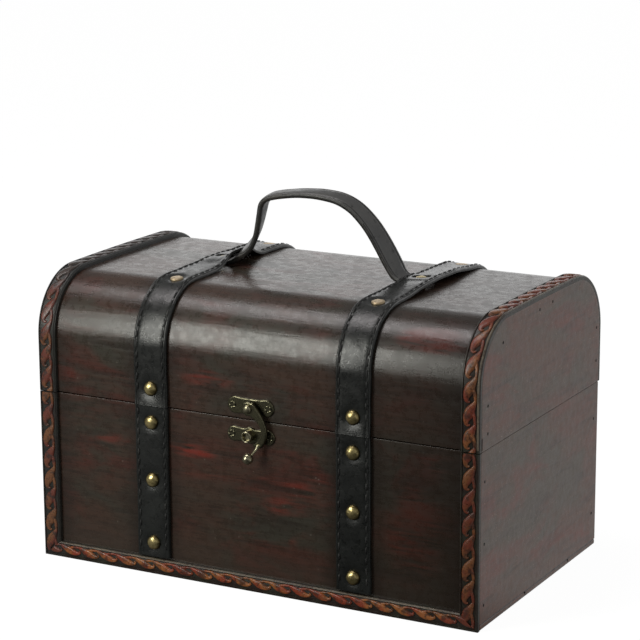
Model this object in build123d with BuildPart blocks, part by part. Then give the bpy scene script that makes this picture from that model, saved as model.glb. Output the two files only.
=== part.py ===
from build123d import *

import os
from math import asin, atan2, cos, degrees, hypot, radians, sin, sqrt, tan

# Domed wooden chest with leather straps, a leather carrying handle and a swing-hook clasp.
# Millimetres. +X is to the right seen from the front, -Y is the front, +Z is up.
# The origin is the centre of the base.

# Carcass of the box
inner_width = 245.0
inner_depth = 140.0
end_thick = 9.0
wall_thick = 7.0
base_thick = 3.0
seam_height = 94.0
rim_gap = 0.4

# Dome of the lid, measured on the outside of the wood
lid_rise = 63.2
shoulder_radius = 31.8
crown_radius = 3000.0
top_seam_share = 0.13  # of the inner depth, from the middle towards the front

# Ornamental trim strips
trim_width = 10.4
trim_thick = 2.5
bottom_trim_height = 8.9

# Leather straps
strap_spacing = 121.0
strap_width = 20.0
strap_thick = 2.2
strap_foot_gap = 1.0
hump_half_length = 24.0

# Upholstery studs
stud_diameter = 8.0
stud_height = 2.6
stud_rim = 0.4
stud_shank_diameter = 1.4
stud_bite = 4.5  # length of the shank in the wood
box_stud_drop = 9.0  # highest stud of the box, below the seam
box_stud_lift = 7.8  # lowest stud of the box, above the end of the strap
box_stud_share = 0.525  # place of the middle stud between those two
lid_stud_rise = 9.7  # studs of the lid's front and back, above the seam
top_stud_angle = 9.0

# Carrying handle, as a strip of leather on edge-on bends
handle_width = 11.6
handle_thick = 3.0
handle_rise = 41.9
handle_tab = 6.5  # length past the rivet
handle_path_shares = [
    (-0.803, 0.0),
    (-0.711, 0.222),
    (-0.587, 0.842),
    (-0.231, 1.0),
    (0.374, 1.0),
    (0.806, 0.0),
]
handle_bend_shares = [0.12, 0.35, 0.32, 0.35, 0.38, 0.12]

# Handle rivets
rivet_shank_diameter = 3.2
rivet_head_diameter = 6.4
rivet_head_height = 1.3
rivet_tail_diameter = 6.0
rivet_tail_height = 0.8
slot_clearance = 0.6
slot_spare_length = 4.4

# Clasp plate on the lid
clasp_width = 27.5
clasp_height = 9.4
clasp_plate_thick = 1.0
clasp_rise = 7.2  # centre of the plate above the seam
clasp_screw_inset = 3.05
clasp_lobe_share = 0.5  # lobe radius in plate heights
clasp_waist_share = 0.36  # half height of the waist in plate heights
boss_diameter = 6.4
boss_height = 1.4

# Keeper plate and post on the box
keeper_width = 28.4
keeper_height = 9.0
keeper_drop = 8.5  # centre of the plate below the seam
keeper_screw_inset = 2.9
keeper_lobe_share = 0.42
post_diameter = 6.2
post_bore = 3.4
post_bore_depth_share = 0.8
post_reach = 5.0  # from the face of the box
post_tenon_diameter = 3.0
post_offset = 0.8  # to the left of the middle

# Swing hook
hook_thick = 1.6
hook_eye_diameter = 7.6
hook_bore_clearance = 0.05
hook_side_gap = 0.1
hook_outer_shares = [(0.175, 0.236), (0.708, -0.629), (0.507, -1.329)]
hook_inner_shares = [(0.254, -1.329), (0.446, -0.699), (0.052, -0.21)]
hook_root_shares = (0.367, -1.119)
hook_ball_shares = (0.035, -1.748)
tooth_height = 1.0
tooth_side_clearance = 0.65
tooth_drop = 0.3  # below the post
tail_diameter = 2.4
tail_clearance = 0.6  # in front of the post
ball_diameter = 5.8
pivot_drop = 0.6  # below the centre of the clasp plate
pivot_shank_diameter = 3.0
pivot_head_diameter = 6.0
pivot_head_height = 1.5

# Wood screws of the clasp and of the hinges
screw_head_diameter = 3.8
screw_head_height = 1.1
screw_shank_diameter = 1.6
screw_bite = 5.0
screw_slot_width = 0.6
screw_slot_depth = 0.5

# Stop hinges on the back
hinge_width = 17.0
leaf_height = 15.0
leaf_thick = 0.9
knuckle_radius = 2.5
knuckle_share = 0.36  # of the hinge's width, the lid's knuckle in the middle
knuckle_gap = 0.3
pin_diameter = 1.8
pin_clearance = 0.05
heel_reach = 3.4  # past the knuckle
heel_thick = 1.0
heel_overlap = 0.8  # root of the heel inside the knuckle
stop_angle = 95.0
stop_spare_angle = 0.5
hinge_screw_spacing = 9.6

# Shared clearances
shank_clearance = 0.04
seat_clearance = 0.3
overrun = 5.0

# Sizes worked out from the above
width = inner_width + 2 * end_thick
depth = inner_depth + 2 * wall_thick
box_rim = seam_height - rim_gap / 2
lid_rim = seam_height + rim_gap / 2
front = -depth / 2
back = depth / 2
wall_height = box_rim - base_thick
crown_height = seam_height + lid_rise
shoulder_y = depth / 2 - shoulder_radius
crown_centre = crown_height - crown_radius
shoulder_height = crown_centre + sqrt((crown_radius - shoulder_radius) ** 2 - shoulder_y**2)
crown_tilt = degrees(asin(shoulder_y / (crown_radius - shoulder_radius)))
inner_radius = shoulder_radius - wall_thick
facet_turn = 45  # degrees between neighbouring boards
facet_knee = inner_radius * tan(radians(facet_turn / 2))
ceiling_height = shoulder_height + inner_radius
strap_centres = [-strap_spacing / 2, strap_spacing / 2]
strap_outer_edge = strap_spacing / 2 + strap_width / 2
trim_inner_edge = width / 2 - trim_width
hinge_x = (strap_outer_edge + trim_inner_edge) / 2
hinge_centres = [-hinge_x, hinge_x]
sides = ["left", "right"]
strap_foot = bottom_trim_height + strap_foot_gap
low_stud = strap_foot + box_stud_lift
high_stud = seam_height - box_stud_drop
box_stud_heights = [low_stud, low_stud + box_stud_share * (high_stud - low_stud), high_stud]
lid_stud_height = seam_height + lid_stud_rise
clasp_centre_height = seam_height + clasp_rise
keeper_centre_height = seam_height - keeper_drop
pivot_height = clasp_centre_height - pivot_drop
hook_drop = pivot_height - keeper_centre_height
top_seam_y = -top_seam_share * inner_depth


def save(piece, name):
    piece.part.label = name
    export_step(piece.part, f"parts/{name}.step")


def front_plane(x, z, lift=0.0):
    # Plane on the front face, looking outwards
    return Plane((x, front - lift, z), x_dir=(1, 0, 0), z_dir=(0, -1, 0))


def back_plane(x, z, lift=0.0):
    # Plane on the back face, looking outwards
    return Plane((x, back + lift, z), x_dir=(-1, 0, 0), z_dir=(0, 1, 0))


def dome_plane(x, angle, lift=0.0):
    # Plane square to the rounded shoulder, at an angle from the vertical, negative to the front
    side = 1 if angle > 0 else -1
    reach = shoulder_radius + lift
    y = side * shoulder_y + reach * sin(radians(angle))
    z = shoulder_height + reach * cos(radians(angle))
    return Plane((x, y, z), x_dir=(1, 0, 0), z_dir=(0, sin(radians(angle)), cos(radians(angle))))


def dome_section(grow, foot):
    # Section of the lid grown outwards by a thickness, closed at the foot
    half = depth / 2 + grow
    radius = shoulder_radius + grow
    turn = 90 - crown_tilt
    with BuildSketch() as section:
        with BuildLine():
            CenterArc((-shoulder_y, shoulder_height), radius, 180, -turn)
            CenterArc((0, crown_centre), crown_radius + grow, 90 + crown_tilt, -2 * crown_tilt)
            CenterArc((shoulder_y, shoulder_height), radius, 90 - crown_tilt, -turn)
            Polyline((half, shoulder_height), (half, foot), (-half, foot), (-half, shoulder_height))
        make_face()
    return section.sketch


def dome_hollow():
    # Flat inner faces of the boards: walls, slanted staves and ceiling
    half = inner_depth / 2
    foot = lid_rim - overrun
    knee_y = shoulder_y + facet_knee
    knee_z = shoulder_height + facet_knee
    with BuildSketch() as section:
        with BuildLine():
            Polyline(
                (-half, foot),
                (-half, knee_z),
                (-knee_y, ceiling_height),
                (knee_y, ceiling_height),
                (half, knee_z),
                (half, foot),
                close=True,
            )
        make_face()
    return section.sketch


def stave_cells():
    # Regions between the joints of the lid's boards, which run square to the rounded shoulder
    reach = 2 * shoulder_radius
    top = shoulder_height + reach
    cells = {}
    for name, side in (("front", -1), ("back", 1)):
        hub = (side * shoulder_y, shoulder_height)
        long = reach * cos(radians(facet_turn / 2))
        short = reach * sin(radians(facet_turn / 2))
        low = (hub[0] + side * long, hub[1] + short)
        high = (hub[0] + side * short, hub[1] + long)
        foot = lid_rim - overrun
        cells[f"lid_{name}_board"] = [hub, low, (low[0], foot), (hub[0], foot)]
        cells[f"lid_{name}_stave"] = [hub, high, low]
        cells[f"lid_top_board_{name}"] = [
            hub,
            high,
            (high[0], top),
            (top_seam_y, top),
            (top_seam_y, hub[1]),
        ]
    return cells


def fastener(head, height, shank, shank_length, rim=0.0):
    # Domed head on a thin rim, standing on the plane z = 0, with a straight shank below it
    radius = head / 2
    rise = height - rim
    cap_radius = (radius**2 + rise**2) / (2 * rise)
    with BuildPart() as piece:
        with BuildSketch(Plane.XZ):
            with BuildLine():
                RadiusArc((radius, rim), (0, height), -cap_radius)
                Polyline(
                    (0, height),
                    (0, -shank_length),
                    (shank / 2, -shank_length),
                    (shank / 2, 0),
                    (radius, 0),
                )
                if rim > 0:
                    Line((radius, 0), (radius, rim))
            make_face()
        revolve(axis=Axis.Z)
    return piece.part


def screw_solid(plate):
    # Round-head slotted wood screw, its head standing on the plane z = 0 above a plate
    with BuildPart() as screw:
        add(fastener(screw_head_diameter, screw_head_height, screw_shank_diameter, plate + screw_bite))
        with Locations((0, 0, screw_head_height)):
            Box(
                screw_head_diameter + overrun,
                screw_slot_width,
                2 * screw_slot_depth,
                mode=Mode.SUBTRACT,
            )
    return screw.part


def group(solid, planes, name):
    # One node of equal fasteners
    with BuildPart() as pieces:
        with Locations(*planes):
            add(solid)
    save(pieces, name)


def drill(planes, diameter, deep):
    # Holes that run inwards from the planes
    with Locations(*planes):
        Cylinder(
            diameter / 2 + shank_clearance,
            2 * deep,
            mode=Mode.SUBTRACT,
        )


# Places of the studs, on the faces of the wood
box_stud_places = [(x, z) for x in strap_centres for z in box_stud_heights]
box_stud_seats = [front_plane(x, z) for x, z in box_stud_places]
front_stud_seats = [front_plane(x, lid_stud_height) for x in strap_centres]
back_stud_seats = [back_plane(x, lid_stud_height) for x in strap_centres]
top_stud_seats = [dome_plane(x, a) for x in strap_centres for a in (-top_stud_angle, top_stud_angle)]
stud_hole = stud_bite + seat_clearance

# Places of the clasp's fasteners, on the face of the wood
clasp_screw_x = clasp_width / 2 - clasp_screw_inset
keeper_screw_x = keeper_width / 2 - keeper_screw_inset
clasp_screw_places = [(s * clasp_screw_x, clasp_centre_height) for s in (-1, 1)]
keeper_screw_places = [(s * keeper_screw_x, keeper_centre_height) for s in (-1, 1)]
clasp_screw_seats = [front_plane(x, z) for x, z in clasp_screw_places]
keeper_screw_seats = [front_plane(x, z) for x, z in keeper_screw_places]
screw_hole = screw_bite + seat_clearance
pivot_seat = [front_plane(0, pivot_height)]

# Places of the hinges' fasteners, on the back face
knuckle_clear = knuckle_radius + knuckle_gap
leaf_screw_drop = (knuckle_clear + leaf_height) / 2
leaf_screw_x = [x + s * hinge_screw_spacing / 2 for x in hinge_centres for s in (-1, 1)]
box_leaf_screw_places = [(x, seam_height - leaf_screw_drop) for x in leaf_screw_x]
lid_leaf_screw_places = [(x, seam_height + leaf_screw_drop) for x in leaf_screw_x]
box_leaf_screw_seats = [back_plane(x, z) for x, z in box_leaf_screw_places]
lid_leaf_screw_seats = [back_plane(x, z) for x, z in lid_leaf_screw_places]

# Box: base board under the walls, end panels, and front and back between the ends
with BuildPart() as base_board:
    with BuildSketch():
        Rectangle(width, depth)
    extrude(amount=base_thick)
save(base_board, "base_board")

for name, x in zip(sides, (-width / 2, width / 2 - end_thick)):
    with BuildPart() as end_panel:
        with BuildSketch(Plane.YZ.offset(x)):
            with Locations((0, base_thick + wall_height / 2)):
                Rectangle(depth, wall_height)
        extrude(amount=end_thick)
    save(end_panel, f"box_end_{name}")

with BuildPart() as front_panel:
    with BuildSketch(Plane.XY.offset(base_thick)):
        with Locations((0, front + wall_thick / 2)):
            Rectangle(inner_width, wall_thick)
    extrude(amount=wall_height)
    drill(box_stud_seats, stud_shank_diameter, stud_hole)
    drill(keeper_screw_seats, screw_shank_diameter, screw_hole)
save(front_panel, "box_front_panel")

with BuildPart() as back_panel:
    with BuildSketch(Plane.XY.offset(base_thick)):
        with Locations((0, back - wall_thick / 2)):
            Rectangle(inner_width, wall_thick)
    extrude(amount=wall_height)
    drill(box_leaf_screw_seats, screw_shank_diameter, screw_hole)
save(back_panel, "box_back_panel")

# Box trim: two upright strips at the front corners and one along the foot, mitred where they meet
for name, side in zip(sides, (-1, 1)):
    with BuildPart() as trim:
        with BuildSketch(front_plane(0, 0)):
            with BuildLine():
                Polyline(
                    (side * width / 2, 0),
                    (side * width / 2, box_rim),
                    (side * trim_inner_edge, box_rim),
                    (side * trim_inner_edge, bottom_trim_height),
                    close=True,
                )
            make_face()
        extrude(amount=trim_thick)
    save(trim, f"box_trim_{name}")

with BuildPart() as bottom_trim:
    with BuildSketch(front_plane(0, 0)):
        with BuildLine():
            Polyline(
                (-width / 2, 0),
                (width / 2, 0),
                (trim_inner_edge, bottom_trim_height),
                (-trim_inner_edge, bottom_trim_height),
                close=True,
            )
        make_face()
    extrude(amount=trim_thick)
save(bottom_trim, "box_trim_bottom")

# Box straps on the front, from the rim down to the foot trim
for name, x in zip(sides, strap_centres):
    with BuildPart() as strap:
        with BuildSketch(Plane.XY.offset(strap_foot)):
            with Locations((x, front - strap_thick / 2)):
                Rectangle(strap_width, strap_thick)
        extrude(amount=box_rim - strap_foot)
        drill(
            [front_plane(x, z) for z in box_stud_heights],
            stud_shank_diameter,
            strap_thick + overrun,
        )
    save(strap, f"box_strap_{name}")

stud = fastener(stud_diameter, stud_height, stud_shank_diameter, strap_thick + stud_bite, stud_rim)
group(stud, [front_plane(x, z, strap_thick) for x, z in box_stud_places], "box_studs")

# Lid: shaped end panels with boards and staves between them
for name, x in zip(sides, (-width / 2, width / 2 - end_thick)):
    with BuildPart() as lid_end:
        with BuildSketch(Plane.YZ.offset(x)):
            add(dome_section(0, lid_rim))
        extrude(amount=end_thick)
    save(lid_end, f"lid_end_{name}")

rivet_x = [-strap_spacing / 2, strap_spacing / 2]
rivet_hole = crown_height - ceiling_height + overrun
for name, cell in stave_cells().items():
    with BuildPart() as board:
        with BuildSketch(Plane.YZ.offset(-inner_width / 2)):
            add(dome_section(0, lid_rim))
            add(dome_hollow(), mode=Mode.SUBTRACT)
            with BuildLine():
                Polyline(*cell, close=True)
            make_face(mode=Mode.INTERSECT)
        extrude(amount=inner_width)
        drill(front_stud_seats + back_stud_seats + top_stud_seats, stud_shank_diameter, stud_hole)
        drill(clasp_screw_seats + lid_leaf_screw_seats, screw_shank_diameter, screw_hole)
        drill([Plane((x, 0, crown_height)) for x in rivet_x], rivet_shank_diameter, rivet_hole)
    save(board, name)

# Lid trim over both ends, from the front rim over the dome to the back rim
for name, x in zip(sides, (-width / 2, trim_inner_edge)):
    with BuildPart() as trim:
        with BuildSketch(Plane.YZ.offset(x)):
            add(dome_section(trim_thick, lid_rim))
            add(dome_section(0, lid_rim - overrun), mode=Mode.SUBTRACT)
        extrude(amount=trim_width)
    save(trim, f"lid_trim_{name}")

# Lid straps over the dome, humped over the ends of the handle, with a slot over each rivet
tab_top = crown_height + handle_thick
hump_base = crown_height - (crown_radius - sqrt(crown_radius**2 - hump_half_length**2))
tab_clear = tab_top + seat_clearance - hump_base
hump_tab_share = (handle_width / 2 + seat_clearance) / hump_half_length
hump_rise = tab_clear / (1 - hump_tab_share**2)
slot_width = rivet_head_diameter + 2 * slot_clearance
slot_length = slot_width + slot_spare_length


def hump_section(grow):
    # Raised stretch of a strap, drawn as one arc over the tab of the handle
    half = hump_half_length + grow
    with BuildSketch() as section:
        with BuildLine():
            ThreePointArc((-half, hump_base), (0, hump_base + hump_rise + grow), (half, hump_base))
            Polyline(
                (half, hump_base),
                (half, shoulder_height),
                (-half, shoulder_height),
                (-half, hump_base),
            )
        make_face()
    return section.sketch


for name, x in zip(sides, strap_centres):
    with BuildPart() as strap:
        with BuildSketch(Plane.YZ.offset(x - strap_width / 2)):
            add(dome_section(strap_thick, lid_rim))
            add(hump_section(strap_thick))
            add(hump_section(0), mode=Mode.SUBTRACT)
            add(dome_section(0, lid_rim - overrun), mode=Mode.SUBTRACT)
        extrude(amount=strap_width)
        drill(front_stud_seats + back_stud_seats, stud_shank_diameter, strap_thick + overrun)
        drill(top_stud_seats, stud_shank_diameter, strap_thick + overrun)
        with BuildSketch(Plane.XY.offset(tab_top)):
            with Locations((x, 0)):
                SlotOverall(slot_length, slot_width)
        extrude(amount=hump_rise + strap_thick + overrun, mode=Mode.SUBTRACT)
    save(strap, f"lid_strap_{name}")

group(
    stud,
    [front_plane(x, lid_stud_height, strap_thick) for x in strap_centres]
    + [back_plane(x, lid_stud_height, strap_thick) for x in strap_centres]
    + [
        dome_plane(x, a, strap_thick)
        for x in strap_centres
        for a in (-top_stud_angle, top_stud_angle)
    ],
    "lid_studs",
)


def bend_radii(points, shares):
    # Radius at each inner point, from the share of the shorter run that its bend takes up
    radii = []
    for before, here, after, share in zip(points, points[1:], points[2:], shares):
        run_in = (here[0] - before[0], here[1] - before[1])
        run_out = (after[0] - here[0], after[1] - here[1])
        turn = atan2(run_out[1], run_out[0]) - atan2(run_in[1], run_in[0])
        shorter = min(hypot(*run_in), hypot(*run_out))
        radii.append(share * shorter / abs(tan(turn / 2)))
    return radii


# Handle: one leather strip whose ends lie under the straps
handle_foot = crown_height + handle_thick / 2
handle_points = [(-rivet_x[1] - handle_tab, handle_foot)]
handle_points += [(a * rivet_x[1], handle_foot + b * handle_rise) for a, b in handle_path_shares]
handle_points += [(rivet_x[1] + handle_tab, handle_foot)]
with BuildPart() as handle:
    with BuildSketch(Plane.XZ):
        with BuildLine():
            FilletPolyline(*handle_points, radius=bend_radii(handle_points, handle_bend_shares))
        trace(line_width=handle_thick)
    extrude(amount=handle_width / 2, both=True)
    drill([Plane((x, 0, tab_top)) for x in rivet_x], rivet_shank_diameter, handle_thick + overrun)
save(handle, "handle")

# Handle rivets: a low head in the slot of the strap and a clenched tail on the ceiling
rivet_length = tab_top - ceiling_height
with BuildPart() as rivet:
    add(fastener(rivet_head_diameter, rivet_head_height, rivet_shank_diameter, rivet_length))
    with BuildSketch(Plane.XY.offset(-rivet_length)):
        Circle(rivet_tail_diameter / 2)
    extrude(amount=-rivet_tail_height)
group(rivet.part, [Plane((x, 0, tab_top)) for x in rivet_x], "handle_rivets")

# Clasp plate on the lid: two round lobes joined by a waisted bar, with a boss for the pivot
clasp_face = front_plane(0, clasp_centre_height)
lobe = clasp_lobe_share * clasp_height
waist = clasp_waist_share * clasp_height
lobe_x = clasp_width / 2 - lobe
with BuildPart() as clasp_plate:
    with BuildSketch(clasp_face):
        Rectangle(2 * lobe_x, 2 * waist)
        with Locations((-lobe_x, 0), (lobe_x, 0)):
            Circle(lobe)
        with Locations((0, pivot_height - clasp_centre_height)):
            Circle(lobe)
    extrude(amount=clasp_plate_thick)
    with BuildSketch(front_plane(0, pivot_height, clasp_plate_thick)):
        Circle(boss_diameter / 2)
    extrude(amount=boss_height)
    drill(clasp_screw_seats, screw_shank_diameter, clasp_plate_thick + overrun)
    drill(pivot_seat, pivot_shank_diameter, clasp_plate_thick + boss_height + overrun)
save(clasp_plate, "clasp_plate")

# Keeper plate on the box, with round lobes for the screws and a broad middle for the post
keeper_face = front_plane(0, keeper_centre_height)
keeper_lobe = keeper_lobe_share * keeper_height
keeper_lobe_x = keeper_width / 2 - keeper_lobe
with BuildPart() as keeper_plate:
    with BuildSketch(keeper_face):
        Rectangle(2 * keeper_lobe_x, 2 * keeper_lobe * clasp_waist_share / clasp_lobe_share)
        with Locations((-keeper_lobe_x, 0), (keeper_lobe_x, 0)):
            Circle(keeper_lobe)
        with Locations((-post_offset, 0)):
            Circle(keeper_height / 2)
    extrude(amount=clasp_plate_thick)
    drill(keeper_screw_seats, screw_shank_diameter, clasp_plate_thick + overrun)
    drill(
        [front_plane(-post_offset, keeper_centre_height)],
        post_tenon_diameter,
        clasp_plate_thick + overrun,
    )
save(keeper_plate, "keeper_plate")

# Keeper post: a hollow tube riveted to the keeper plate
with BuildPart() as keeper_post:
    with BuildSketch(front_plane(-post_offset, keeper_centre_height)):
        Circle(post_tenon_diameter / 2)
    extrude(amount=clasp_plate_thick)
    with BuildSketch(front_plane(-post_offset, keeper_centre_height, clasp_plate_thick)):
        Circle(post_diameter / 2)
    extrude(amount=post_reach - clasp_plate_thick)
    with BuildSketch(front_plane(-post_offset, keeper_centre_height, post_reach)):
        Circle(post_bore / 2)
    extrude(amount=-post_bore_depth_share * (post_reach - clasp_plate_thick), mode=Mode.SUBTRACT)
save(keeper_post, "keeper_post")

clasp_screw = screw_solid(clasp_plate_thick)
group(
    clasp_screw,
    [front_plane(x, z, clasp_plate_thick) for x, z in clasp_screw_places],
    "clasp_screws",
)
group(
    clasp_screw,
    [front_plane(x, z, clasp_plate_thick) for x, z in keeper_screw_places],
    "keeper_screws",
)

# Pivot of the hook: a rivet through the boss, with a domed head in front of the hook
hook_back = clasp_plate_thick + boss_height + hook_side_gap
hook_front = hook_back + hook_thick
pivot_head_seat = hook_front + hook_side_gap
pivot = fastener(pivot_head_diameter, pivot_head_height, pivot_shank_diameter, pivot_head_seat)
group(pivot, [front_plane(0, pivot_height, pivot_head_seat)], "hook_pivot")


def hook_point(shares):
    # Point of the hook's outline, in shares of the drop from the pivot to the post
    return (shares[0] * hook_drop, shares[1] * hook_drop)


# Swing hook: a crescent arm with a tooth for the post and a tail with a ball, thrown forward
hook_plane = front_plane(0, pivot_height, hook_back)
ball_place = hook_point(hook_ball_shares)
outer = [hook_point(s) for s in hook_outer_shares]
inner = [hook_point(s) for s in hook_inner_shares]
tooth_x = post_diameter / 2 - post_offset + tooth_side_clearance
tooth_z = -(hook_drop + post_diameter / 2 + tooth_drop)
tooth = [(tooth_x, tooth_z - tooth_height), (tooth_x, tooth_z), hook_point(hook_root_shares)]
tail_root = ((outer[2][0] + inner[0][0]) / 2, outer[2][1] + tail_diameter / 2)
tail_throw = post_reach + tail_clearance + ball_diameter / 2 - hook_back - hook_thick / 2
with BuildPart() as hook:
    with BuildSketch(hook_plane):
        with BuildLine():
            ThreePointArc(*outer)
            Line(outer[2], inner[0])
            Polyline(inner[0], *tooth)
            ThreePointArc(tooth[2], inner[1], inner[2])
            Line(inner[2], outer[0])
        make_face()
        Circle(hook_eye_diameter / 2)
    extrude(amount=hook_thick)
    root_centre = hook_plane.from_local_coords((tail_root[0], tail_root[1], hook_thick / 2))
    ball_centre = hook_plane.from_local_coords(
        (ball_place[0], ball_place[1], hook_thick / 2 + tail_throw)
    )
    with BuildLine() as tail_path:
        Line(root_centre, ball_centre)
    with BuildSketch(Plane(root_centre, z_dir=tail_path.line % 0)):
        Circle(tail_diameter / 2)
    sweep()
    with Locations(ball_centre):
        Sphere(ball_diameter / 2)
    with Locations(hook_plane):
        Cylinder(
            pivot_shank_diameter / 2 + hook_bore_clearance,
            2 * (hook_thick + overrun),
            mode=Mode.SUBTRACT,
        )
save(hook, "swing_hook")

# Hinges: stamped leaves on the back, curled round a pin at the seam, with heels that stop the lid
axis_y = back + knuckle_clear
lid_knuckle = knuckle_share * hinge_width


def hinge_leaf(x, lid):
    # Leaf that points up on the lid or down on the box, with its own knuckles and heel
    way = 1 if lid else -1
    own = [(x, lid_knuckle - knuckle_gap)]
    other = [(x + s * (hinge_width + lid_knuckle) / 4, (hinge_width - lid_knuckle) / 2) for s in (-1, 1)]
    if not lid:
        own, other = other, [(x, lid_knuckle + knuckle_gap)]
    half_stop = (stop_angle + stop_spare_angle) / 2
    with BuildPart() as leaf:
        with BuildSketch(Plane.XZ.offset(-back)):
            with Locations((x, seam_height + way * (knuckle_clear + leaf_height) / 2)):
                RectangleRounded(hinge_width, leaf_height - knuckle_clear, leaf_thick)
        extrude(amount=-leaf_thick)
        for centre, length in own:
            with BuildSketch(Plane.YZ.offset(centre - length / 2)):
                with Locations((axis_y, seam_height)):
                    Circle(knuckle_radius)
                with Locations((back + leaf_thick / 2, seam_height + way * knuckle_clear)):
                    Rectangle(leaf_thick, 2 * knuckle_clear)
            extrude(amount=length)
        heel_width = lid_knuckle - knuckle_gap if lid else hinge_width
        heel_plane = Plane((x, axis_y, seam_height), x_dir=(1, 0, 0), z_dir=(0, 0, 1))
        heel_plane = heel_plane.rotated((way * half_stop, 0, 0))
        with BuildSketch(heel_plane):
            with Locations((0, knuckle_radius - heel_overlap)):
                Rectangle(
                    heel_width, heel_reach + heel_overlap, align=(Align.CENTER, Align.MIN)
                )
        extrude(amount=way * heel_thick)
        for centre, length in other:
            with Locations(Location((centre, axis_y, seam_height), (0, 90, 0))):
                Cylinder(knuckle_clear, length, mode=Mode.SUBTRACT)
        clearance = pin_clearance if lid else 0
        with Locations(Location((x, axis_y, seam_height), (0, 90, 0))):
            Cylinder(pin_diameter / 2 + clearance, hinge_width + overrun, mode=Mode.SUBTRACT)
        seats = lid_leaf_screw_seats if lid else box_leaf_screw_seats
        drill(seats, screw_shank_diameter, leaf_thick + overrun)
    return leaf


for name, x in zip(sides, hinge_centres):
    save(hinge_leaf(x, lid=False), f"hinge_box_leaf_{name}")
    save(hinge_leaf(x, lid=True), f"hinge_lid_leaf_{name}")
    with BuildPart() as pin:
        with BuildSketch(Plane.YZ.offset(x - hinge_width / 2)):
            with Locations((axis_y, seam_height)):
                Circle(pin_diameter / 2)
        extrude(amount=hinge_width)
    save(pin, f"hinge_pin_{name}")

hinge_screw = screw_solid(leaf_thick)
group(
    hinge_screw,
    [back_plane(x, z, leaf_thick) for x, z in box_leaf_screw_places],
    "hinge_box_screws",
)
group(
    hinge_screw,
    [back_plane(x, z, leaf_thick) for x, z in lid_leaf_screw_places],
    "hinge_lid_screws",
)
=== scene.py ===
import math

import bmesh
import bpy
from mathutils import Matrix, Vector, noise


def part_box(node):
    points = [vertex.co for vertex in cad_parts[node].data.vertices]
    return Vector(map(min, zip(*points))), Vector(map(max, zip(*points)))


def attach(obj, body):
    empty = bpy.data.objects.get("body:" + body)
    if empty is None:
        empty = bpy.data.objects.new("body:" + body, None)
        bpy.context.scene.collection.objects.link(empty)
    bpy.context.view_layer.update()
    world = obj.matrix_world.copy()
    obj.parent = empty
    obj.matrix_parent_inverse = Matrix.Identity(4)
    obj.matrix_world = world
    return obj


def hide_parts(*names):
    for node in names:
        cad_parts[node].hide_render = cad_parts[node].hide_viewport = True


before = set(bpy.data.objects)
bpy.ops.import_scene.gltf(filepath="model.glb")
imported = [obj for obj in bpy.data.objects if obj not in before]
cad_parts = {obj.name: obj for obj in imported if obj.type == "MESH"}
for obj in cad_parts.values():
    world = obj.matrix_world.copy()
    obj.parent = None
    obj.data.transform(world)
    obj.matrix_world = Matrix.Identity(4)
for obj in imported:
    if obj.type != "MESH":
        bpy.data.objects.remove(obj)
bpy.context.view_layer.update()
mm = 0.001  # pieces are worked out in millimetres
halfBend = math.radians(22.5)  # half of a bend of 45 degrees
chamfer = 0.29  # how far the middle of a rounded edge lies in from its corner, as a share of the edge
slack = 0.2  # reach of the rules that pick a second finish
print("frame loaded:", len(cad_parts), "nodes")


class Wire:  # a shader socket that can stand in a sum
    def __init__(self, tree, socket=None):
        self.tree = tree
        self.socket = socket

    def node(self, kind, inputs=None, settings=None, out=0):
        made = self.tree.nodes.new(kind if "Node" in kind else "ShaderNode" + kind)
        for key, value in (settings or {}).items():
            setattr(made, key, value)
        for key, value in (inputs or {}).items():
            if isinstance(value, Wire):
                self.tree.links.new(value.socket, made.inputs[key])
            else:
                made.inputs[key].default_value = value
        return Wire(self.tree, made.outputs[out] if made.outputs else None)

    def beside(self, key):  # another output of the same node
        return Wire(self.tree, self.socket.node.outputs[key])

    def maths(self, operation, first, second):
        return self.node("Math", {0: first, 1: second}, {"operation": operation})

    def __add__(self, other):
        return self.maths("ADD", self, other)

    def __radd__(self, other):
        return self.maths("ADD", other, self)

    def __sub__(self, other):
        return self.maths("SUBTRACT", self, other)

    def __rsub__(self, other):
        return self.maths("SUBTRACT", other, self)

    def __mul__(self, other):
        return self.maths("MULTIPLY", self, other)

    def __rmul__(self, other):
        return self.maths("MULTIPLY", other, self)


def stretched(place, scale=(1, 1, 1), shift=(0, 0, 0)):  # coordinates in millimetres, squeezed along an axis
    return place.node("Mapping", {"Vector": place, "Scale": [s / mm for s in scale], "Location": shift})


def grainy(place, scale, detail=3.0, rough=0.55, twist=0.0):
    values = {"Vector": place, "Scale": scale, "Detail": detail, "Roughness": rough, "Distortion": twist}
    return place.node("TexNoise", values)


def cells(place, scale, feature="F1"):
    return place.node("TexVoronoi", {"Vector": place, "Scale": scale}, {"feature": feature}, "Distance")


def between(value, low, high, start=0.0, end=1.0):  # eased ramp from start to end
    values = {"Value": value, "From Min": low, "From Max": high, "To Min": start, "To Max": end}
    return value.node("MapRange", values, {"interpolation_type": "SMOOTHSTEP"})


def unsigned(value):
    return value.node("Math", {0: value}, {"operation": "ABSOLUTE"})


def split(vector):  # its x, y and z
    x = vector.node("SeparateXYZ", {"Vector": vector})
    return x, x.beside("Y"), x.beside("Z")


def tinted(mask, first, second):  # first colour where the mask is 0, second where it is 1
    under = first if isinstance(first, Wire) else (*first, 1)
    return mask.node("Mix", {0: mask, 6: under, 7: (*second, 1)}, {"data_type": "RGBA"}, 2)


def layered(colour, paints, layers):  # paints laid over a colour one by one, each through its mask
    for mask, key in layers:
        colour = tinted(mask, colour, paints[key])
    return colour


def startFinish(name):
    material = bpy.data.materials.new(name)
    material.use_nodes = True
    material.node_tree.nodes.clear()
    return material, Wire(material.node_tree).node("TexCoord", out="Object")


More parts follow.
